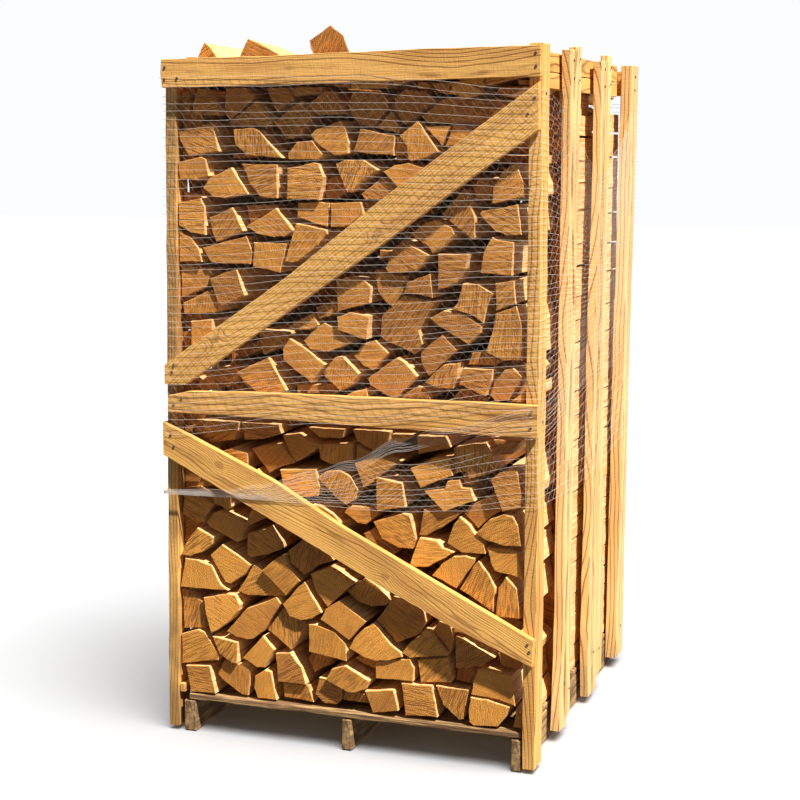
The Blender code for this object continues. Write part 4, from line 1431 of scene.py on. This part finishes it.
@dataclass
class StretchNet:
    """The white knitted net: long threads round the crate, and fine ties zigzagging between them.

    Attributes:
        thread: The finish of its thread.
        bands: The bands of long threads, from the top down.
        wall_ties: How many times a tie turns on each wall.
        thread_radius: Half of a long thread's thickness, in metres.
        tie_radius: Half of a tie's thickness.
        left: Where the net runs along the left wall, in metres from the middle at the ground.
        left_lean: How far it leans in for each metre of height.
        right_front: Where it runs at the right wall's front corner.
        right_back: Where it runs at the right wall's back corner.
        depth: How far the net stands before and behind the middle.
        nailed_on: How far the rails and braces stand out before the posts.
        rails: The foot and top of each rail, in metres.
        braces: The left and right end of each brace, as x and z, and half its width across.
        least_gap: Ties are left out where the threads are gathered closer than this.
        edge: How far the posts reach to the left and right of the middle.
        wander: How far a thread strays from its even place.
        even_gap: The gap between threads from which on they stray in full.
    """

    thread: bpy.types.Material
    bands: tuple[ThreadBand, ...] = (
        ThreadBand(NET_TOP, UPPER_FOOT, 44),
        ThreadBand(MIDDLE_TOP, MIDDLE_FOOT, 7),
        ThreadBand(LOWER_TOP, LOWER_FOOT, 9),
    )
    wall_ties: tuple[int, ...] = (80, 44, 80, 44)
    thread_radius: float = 0.00042
    tie_radius: float = 0.00024
    left: float = -0.5240
    left_lean: float = 0.0146
    right_front: float = 0.5105
    right_back: float = 0.5245
    depth: float = 0.5478
    nailed_on: float = 0.0228
    rails: tuple[Point, ...] = ((1.722, 1.815), (0.865, 0.952))
    braces: tuple[tuple[Point, Point, float], ...] = (
        ((-0.49, 0.982), (0.50, 1.668), 0.078),
        ((-0.51, 0.810), (0.505, 0.322), 0.085),
    )
    least_gap: float = 0.0045
    edge: float = 0.5
    wander: float = 0.0022
    even_gap: float = 0.018

    def build(self) -> list[bpy.types.Object]:
        """Lay the long threads and knit the ties between them.

        Returns:
            The two finished pieces.
        """
        long_ways: list[list[Vector]] = []
        ties: list[list[Vector]] = []
        for number, band in enumerate(self.bands):
            for thread in range(band.threads):
                long_ways.append(self.long_thread(band, thread, number))
            for thread in range(band.threads - 1):
                ties.extend(self.tie(band, thread, number))
        return [
            self.spin("net_long_threads", long_ways, self.thread_radius, closed=True),
            self.spin("net_ties", ties, self.tie_radius, closed=False),
        ]

    def place(self, where: float, z: float) -> Vector:
        """Find the point of the net at a position round the crate.

        Args:
            where: The position, 0 to 4.
            z: The height in metres.

        Returns:
            The point, in metres: tight round the posts, and held off by rails and braces.
        """
        left = self.left + self.left_lean * z
        flat = -self.depth + self.nailed_on
        front_left, front_right = Vector((left, flat)), Vector((self.right_front, flat))
        back_left, back_right = Vector((left, -flat)), Vector((self.right_back, -flat))
        corners = (front_left, front_right, back_right, back_left)
        wall = int(where) % 4
        point = corners[wall].lerp(corners[(wall + 1) % 4], where - int(where))
        if wall == 0:
            point.y -= self.nailed_on * self.held_off(point.x, z)
        elif wall == 2:
            twin = BACK_MIRROR_X * MM - 2 * MIDDLE_X * MM - point.x
            point.y += self.nailed_on * self.held_off(twin, z)
        return Vector((*point, z))

    def held_off(self, x: float, z: float) -> float:
        """Return how far the rails and braces hold the net off the posts, from 0 to 1.

        Args:
            x: Metres across the front from its middle.
            z: The height in metres.

        Returns:
            1 over a rail or brace, and less on the way from one to the posts.
        """
        if any(foot < z < top for foot, top in self.rails):
            return 1.0
        share = 0.0
        for start, end, half in self.braces:
            middle = start[0] + (z - start[1]) * (end[0] - start[0]) / (end[1] - start[1])
            near, far = middle - half, middle + half
            if near <= x <= far:
                share = 1.0
            elif x < near:
                rise = (x + self.edge) / max(near + self.edge, 0.01) if near > -self.edge else 0.0
                share = max(share, rise)
            elif far < self.edge:
                share = max(share, (self.edge - x) / max(self.edge - far, 0.01))
        return min(max(share, 0.0), 1.0)

    def steps(self) -> list[float]:
        """List the positions of the ties round the crate: closer on the front than on the sides."""
        return [wall + step / count for wall, count in enumerate(self.wall_ties) for step in range(count)]

    def stray(self, thread: float, number: int, where: float) -> float:
        """Find how far a thread strays from its even place.

        Args:
            thread: The thread's number.
            number: The band's number.
            where: The position round the crate.

        Returns:
            The straying in metres.
        """
        turn = where / 4 * math.tau
        return self.wander * (
            math.sin(7 * turn + 1.9 * thread + number)
            + math.sin(3 * turn + 5.3 * thread)
            + 0.5 * math.sin(17 * turn + 2.7 * thread)
        )

    def height(self, band: ThreadBand, thread: float, number: int, where: float) -> float:
        """Find how high a thread runs, its straying reduced where the band is gathered.

        Args:
            band: The band of threads.
            thread: The thread's number.
            number: The band's number.
            where: The position round the crate.

        Returns:
            The height in metres.
        """
        gap = band.height(0, where) - band.height(band.threads - 1, where)
        spacing = min(gap / (band.threads - 1) / self.even_gap, 1.0)
        return band.height(thread, where) + self.stray(thread, number, where) * spacing

    def long_thread(self, band: ThreadBand, thread: int, number: int) -> list[Vector]:
        """Run one long thread round the crate."""
        return [self.place(where, self.height(band, thread, number, where)) for where in self.steps()]

    def tie(self, band: ThreadBand, thread: int, number: int) -> list[list[Vector]]:
        """Run one tie to and fro between two long threads, wherever they lie well apart.

        Args:
            band: The band of threads.
            thread: The number of the upper thread.
            number: The band's number.

        Returns:
            The lengths of the tie.
        """
        lengths: list[list[Vector]] = [[]]
        steps = [*self.steps(), 4.0]
        for step, (where, following) in enumerate(zip(steps, steps[1:])):
            lean = (0.35 if step % 2 else 0.0) + 0.5 * (thread % 2)
            where = between(where, following, lean)
            gap = band.height(thread, where) - band.height(thread + 1, where)
            if gap > self.least_gap:
                z = self.height(band, thread + step % 2, number, where)
                lengths[-1].append(self.place(where, z))
            elif lengths[-1]:
                lengths.append([])
        return [length for length in lengths if len(length) > 1]

    def spin(
        self, name: str, ways: Sequence[Sequence[Vector]], radius: float, closed: bool
    ) -> bpy.types.Object:
        """Give the drawn threads their thickness.

        Args:
            name: The piece's name.
            ways: The line of each thread.
            radius: Half of a thread's thickness, in metres.
            closed: Whether each line runs back to its start.

        Returns:
            The finished piece.
        """
        points: list[Vector] = []
        edges: list[tuple[int, int]] = []
        for way in ways:
            first = len(points)
            count = len(way)
            points.extend(way)
            steps = range(count if closed else count - 1)
            edges.extend((first + step, first + (step + 1) % count) for step in steps)
        piece = new_piece(name, points, edges, [])
        bpy.ops.object.convert(target="CURVE")
        piece = bpy.context.object
        piece.data.bevel_depth = radius
        piece.data.bevel_resolution = 0
        bpy.ops.object.convert(target="MESH")
        piece = bpy.context.object
        bpy.ops.object.shade_smooth()
        ride_as(piece, self.thread, "stretch_net")
        log.info("net %s: %d threads, %d faces", name, len(ways), len(piece.data.polygons))
        return piece


@dataclass
class Nails:
    """The nail heads of the boards, one head modelled and copied to all its places.

    Attributes:
        steel: The finish of the heads.
        front: Their places on the front rails and braces, as drawn x and z in millimetres.
        wall: Their places on the right wall's boards, as y and z.
        leans: How far back each board of that wall reaches, and how far out its top leans.
        wall_foot: Where that wall's outer faces stand at the ground.
        out: How far the rails and braces stand out before the posts.
        radius: Half of a head's width, in metres.
    """

    steel: bpy.types.Material
    front: tuple[Point, ...] = (
        (-493, 1774), (-458, 1747), (-494, 1744), (488, 1793), (489, 1762), (-462, 919), (-486, 902),
        (488, 934), (486, 893), (487, 1688), (470, 1650), (-489, 988), (-484, 1006), (-497, 820),
        (-488, 790), (489, 328), (484, 346),
    )
    wall: tuple[Point, ...] = (
        (292, 1790), (296, 1745), (358, 1796), (356, 1742), (628, 1782), (630, 1736), (700, 1790),
        (698, 1744), (1000, 1776), (996, 1738), (300, 150), (352, 120), (640, 140), (710, 130),
        (36, 1700), (38, 900), (1000, 120),
    )
    leans: tuple[Point, ...] = ((100, 0), (500, 4), (900, 8), (math.inf, 14))
    wall_foot: float = 500.2
    out: float = 22.6
    radius: float = 0.0036

    def build(self) -> bpy.types.Object:
        """Model one head, copy it to each place and join the copies.

        Returns:
            The finished piece.
        """
        quarter = math.pi / 2
        front = [(place(x, -self.out, z), (quarter, 0, 0)) for x, z in self.front]
        back = [(place(BACK_MIRROR_X - x, DEPTH + self.out, z), (-quarter, 0, 0)) for x, z in self.front]
        wall = [(place(self.wall_at(y, z), y, z), (0, quarter, 0)) for y, z in self.wall]
        first = self.head()
        heads = [first]
        for where, turned in front + back + wall:
            head = first.copy()
            head.data = first.data.copy()
            head.location, head.rotation_euler = where, turned
            bpy.context.scene.collection.objects.link(head)
            heads.append(head)
        bpy.data.objects.remove(heads.pop(0))
        select_only(heads[0])
        for head in heads:
            head.select_set(True)
        bpy.ops.object.join()
        piece = bpy.context.object
        bpy.ops.object.transform_apply(location=True, rotation=True, scale=True)
        piece.name = "nail_heads"
        ride_as(piece, self.steel)
        log.info("nails: %d heads", len(heads))
        return piece

    def wall_at(self, y: float, z: float) -> float:
        """Find how far out the right wall's boards stand, in drawn millimetres."""
        lean = next(lean for back_to, lean in self.leans if y < back_to)
        return self.wall_foot + lean * z / POST_TOP

    def head(self) -> bpy.types.Object:
        """Model one nail head at the middle, a low disc with a bevelled rim.

        Returns:
            The head.
        """
        bpy.ops.object.select_all(action="DESELECT")
        bpy.ops.mesh.primitive_cylinder_add(vertices=10, radius=self.radius, depth=0.0016)
        head = bpy.context.object
        bpy.ops.object.mode_set(mode="EDIT")
        bpy.ops.mesh.select_all(action="SELECT")
        bpy.ops.mesh.bevel(offset=0.0004, segments=1)
        bpy.ops.object.mode_set(mode="OBJECT")
        return head


def edge_logs(low: float, high: float, seed: int) -> list[LogEnd]:
    """Stack plain logs against the right wall, where a row shows only its side.

    Args:
        low: The height of the lowest one's underside, in millimetres.
        high: The height that the stack reaches.
        seed: Sets their sizes.

    Returns:
        Their ends.
    """
    chance = random.Random(seed)
    ends = []
    while low < high - 40:
        top = min(low + chance.uniform(55, 95), high)
        left, bulge = chance.uniform(340, 380), chance.uniform(8, 22)
        outline = ((left, low + bulge), (left + 20, top), (459, top - bulge / 5), (460, low + 1))
        ends.append(LogEnd(14.0, chance.uniform(0.1, 0.6), outline))
        low = top + chance.uniform(0.5, 2.5)
    return ends


@dataclass
class Studio:
    """The pale floor, the soft lamps and the camera.

    Attributes:
        camera_place: Where the camera stands, in metres.
        camera_turn: How it is turned, in degrees.
        lens: Its focal length in millimetres.
        sun_from: The direction that the main lamp's light comes from.
        sun_strength: The main lamp's strength.
        room_light: How much light the pale room gives.
        floor_light: The strength of the floor's own lamp.
    """

    camera_place: tuple[float, float, float] = (1.5585, -4.463, 1.568)
    camera_turn: tuple[float, float, float] = (81.5, 0.0, 19.7)
    lens: float = 75.6
    sun_from: tuple[float, float, float] = (2.0, -1.0, 3.2)
    sun_strength: float = 9.0
    room_light: float = 0.2
    floor_light: float = 3.7

    def build(self) -> None:
        """Lay the floor, light it and stand the camera up."""
        self.light(self.lay_floor())
        self.stand_camera()
        log.info("studio ready")

    def lay_floor(self) -> bpy.types.Object:
        """Lay a large plain floor under the runners, which throws no light back.

        Returns:
            The floor.
        """
        bpy.ops.object.select_all(action="DESELECT")
        bpy.ops.mesh.primitive_plane_add(size=60, location=(0, 0, 0))
        floor = bpy.context.object
        floor.name = "studio_floor"
        sheet = NodeSheet("studio_floor")
        tint = sheet.noise(sheet.object_place(), 0.6, 1.0)
        pale = sheet.mix(tint, paint((0.90, 0.90, 0.90)), paint((0.93, 0.93, 0.93)))
        sheet.feed(sheet.shader.inputs["Base Color"], pale)
        sheet.shader.inputs["Roughness"].default_value = 0.9
        floor.data.materials.append(sheet.material)
        floor.visible_diffuse = False
        return floor

    def hang_lamp(
        self, name: str, light_from: Sequence[float], strength: float, softness: float, colour: Colour
    ) -> bpy.types.Object:
        """Hang one lamp of parallel light.

        Args:
            name: Its name.
            light_from: The direction that its light comes from.
            strength: Its strength.
            softness: How wide it looks from the floor, in degrees.
            colour: Its colour.

        Returns:
            The lamp.
        """
        bpy.ops.object.light_add(type="SUN", location=(3, -2, 5))
        lamp = bpy.context.object
        lamp.name = name
        lamp.data.energy = strength
        lamp.data.angle = math.radians(softness)
        lamp.data.color = colour
        lamp.rotation_euler = Vector(light_from).to_track_quat("Z", "Y").to_euler()
        return lamp

    def light(self, floor: bpy.types.Object) -> None:
        """Light the crate from high on the right, and the floor softly from above.

        Args:
            floor: The studio floor, which the crate's own lamp leaves out.
        """
        main_lamp = self.hang_lamp("main_lamp", self.sun_from, self.sun_strength, 1.5, (1.0, 0.95, 0.86))
        floor_lamp = self.hang_lamp("floor_lamp", (0.3, -0.2, 1.0), self.floor_light, 50.0, (1.0, 1.0, 1.0))
        for lamp, state in ((main_lamp, "EXCLUDE"), (floor_lamp, "INCLUDE")):
            lit = bpy.data.collections.new(lamp.name + "_floor")
            lit.objects.link(floor)
            lamp.light_linking.receiver_collection = lit
            lit.collection_objects[0].light_linking.link_state = state
        world = bpy.data.worlds.new("studio_room")
        bpy.context.scene.world = world
        world.use_nodes = True
        nodes, links = world.node_tree.nodes, world.node_tree.links
        room = nodes["Background"]
        room.inputs["Color"].default_value = (0.97, 0.98, 1.0, 1.0)
        seen = nodes.new("ShaderNodeLightPath")
        share = nodes.new("ShaderNodeMath")
        share.operation = "MULTIPLY_ADD"
        share.inputs[1].default_value = 1.0 - self.room_light
        share.inputs[2].default_value = self.room_light
        links.new(seen.outputs["Is Camera Ray"], share.inputs[0])
        links.new(share.outputs[0], room.inputs["Strength"])
        bpy.context.scene.view_settings.view_transform = "Standard"

    def stand_camera(self) -> None:
        """Stand the camera at the photograph's place."""
        bpy.ops.object.camera_add(
            location=self.camera_place,
            rotation=tuple(math.radians(turn) for turn in self.camera_turn),
        )
        camera = bpy.context.object
        camera.name = "photograph_camera"
        camera.data.lens = self.lens
        camera.data.sensor_width = 36.0
        camera.data.dof.use_dof = False
        bpy.context.scene.camera = camera


def saw_boards() -> None:
    """Build every board, runner and deck board over its frame node."""
    sawn = SawnSoftwood().material()
    pale = SawnSoftwood(
        name="pale_softwood", early=(0.95, 0.62, 0.27), stain=(0.86, 0.50, 0.17), ring=0.011
    ).material()
    knotty = SawnSoftwood(
        name="knotty_softwood", early=(0.98, 0.54, 0.135), late=(0.40, 0.17, 0.04), ring=0.0048,
        knots=((-0.42, 0.012, 0.010), (0.11, -0.016, 0.009)),
    ).material()
    woods = {"upright": pale, "post_back": pale, "brace": knotty}
    deck = WeatheredDeck().material()
    for number, name in enumerate(sorted(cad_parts)):
        if name.startswith(("runner", "deck")):
            Board(name, "deck_softwood", deck, number, worn=0.003, uneven=0.0025).build()
        elif name.startswith(("post", "upright", "rail", "brace", "side_rail", "foot")):
            wood = next((wood for start, wood in woods.items() if name.startswith(start)), sawn)
            # The front left post is made much darker than the rest: partly dirt, partly painted shade.
            tone = 0.75 if name == "post_front_left" else 0.12
            Board(name, "sawn_softwood", wood, number, tone=tone).build()


def stack_logs() -> None:
    """Stack the three rows, and lay the loose logs on top."""
    beech = SplitBeech().material()
    ends = [LogEnd.read(line) for line in LOG_ENDS.split("\n") if line.strip()]
    LogStack("firewood_row_front", FRONT_ROW, Side.FRONT, False, 3, beech, ends=ends).build()
    by_wall = [end.mirrored() for end in edge_logs(112, 1700, 4)]
    LogStack("firewood_row_middle", MIDDLE_ROW, Side.HIDDEN, True, 5, beech, ends=ends + by_wall).build()
    by_wall = edge_logs(112, 1700, 9)
    LogStack("firewood_row_back", BACK_ROW, Side.BACK, False, 8, beech, ends=ends + by_wall).build()
    for node, start, length, turned, line in LOOSE_LOGS:
        loose = LogStack(node, start, Side.FRONT, False, start, beech, length=length, turned=turned)
        loose.ends = [LogEnd.read(line)]
        loose.build()


def main() -> None:
    """Build the crate, its load and its net."""
    logging.basicConfig(level=logging.INFO, format="%(name)s: %(message)s")
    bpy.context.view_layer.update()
    saw_boards()
    stack_logs()
    StretchNet(NetThread().material()).build()
    Nails(NailSteel().material()).build()
    Studio().build()


if __name__ == "__main__":
    main()
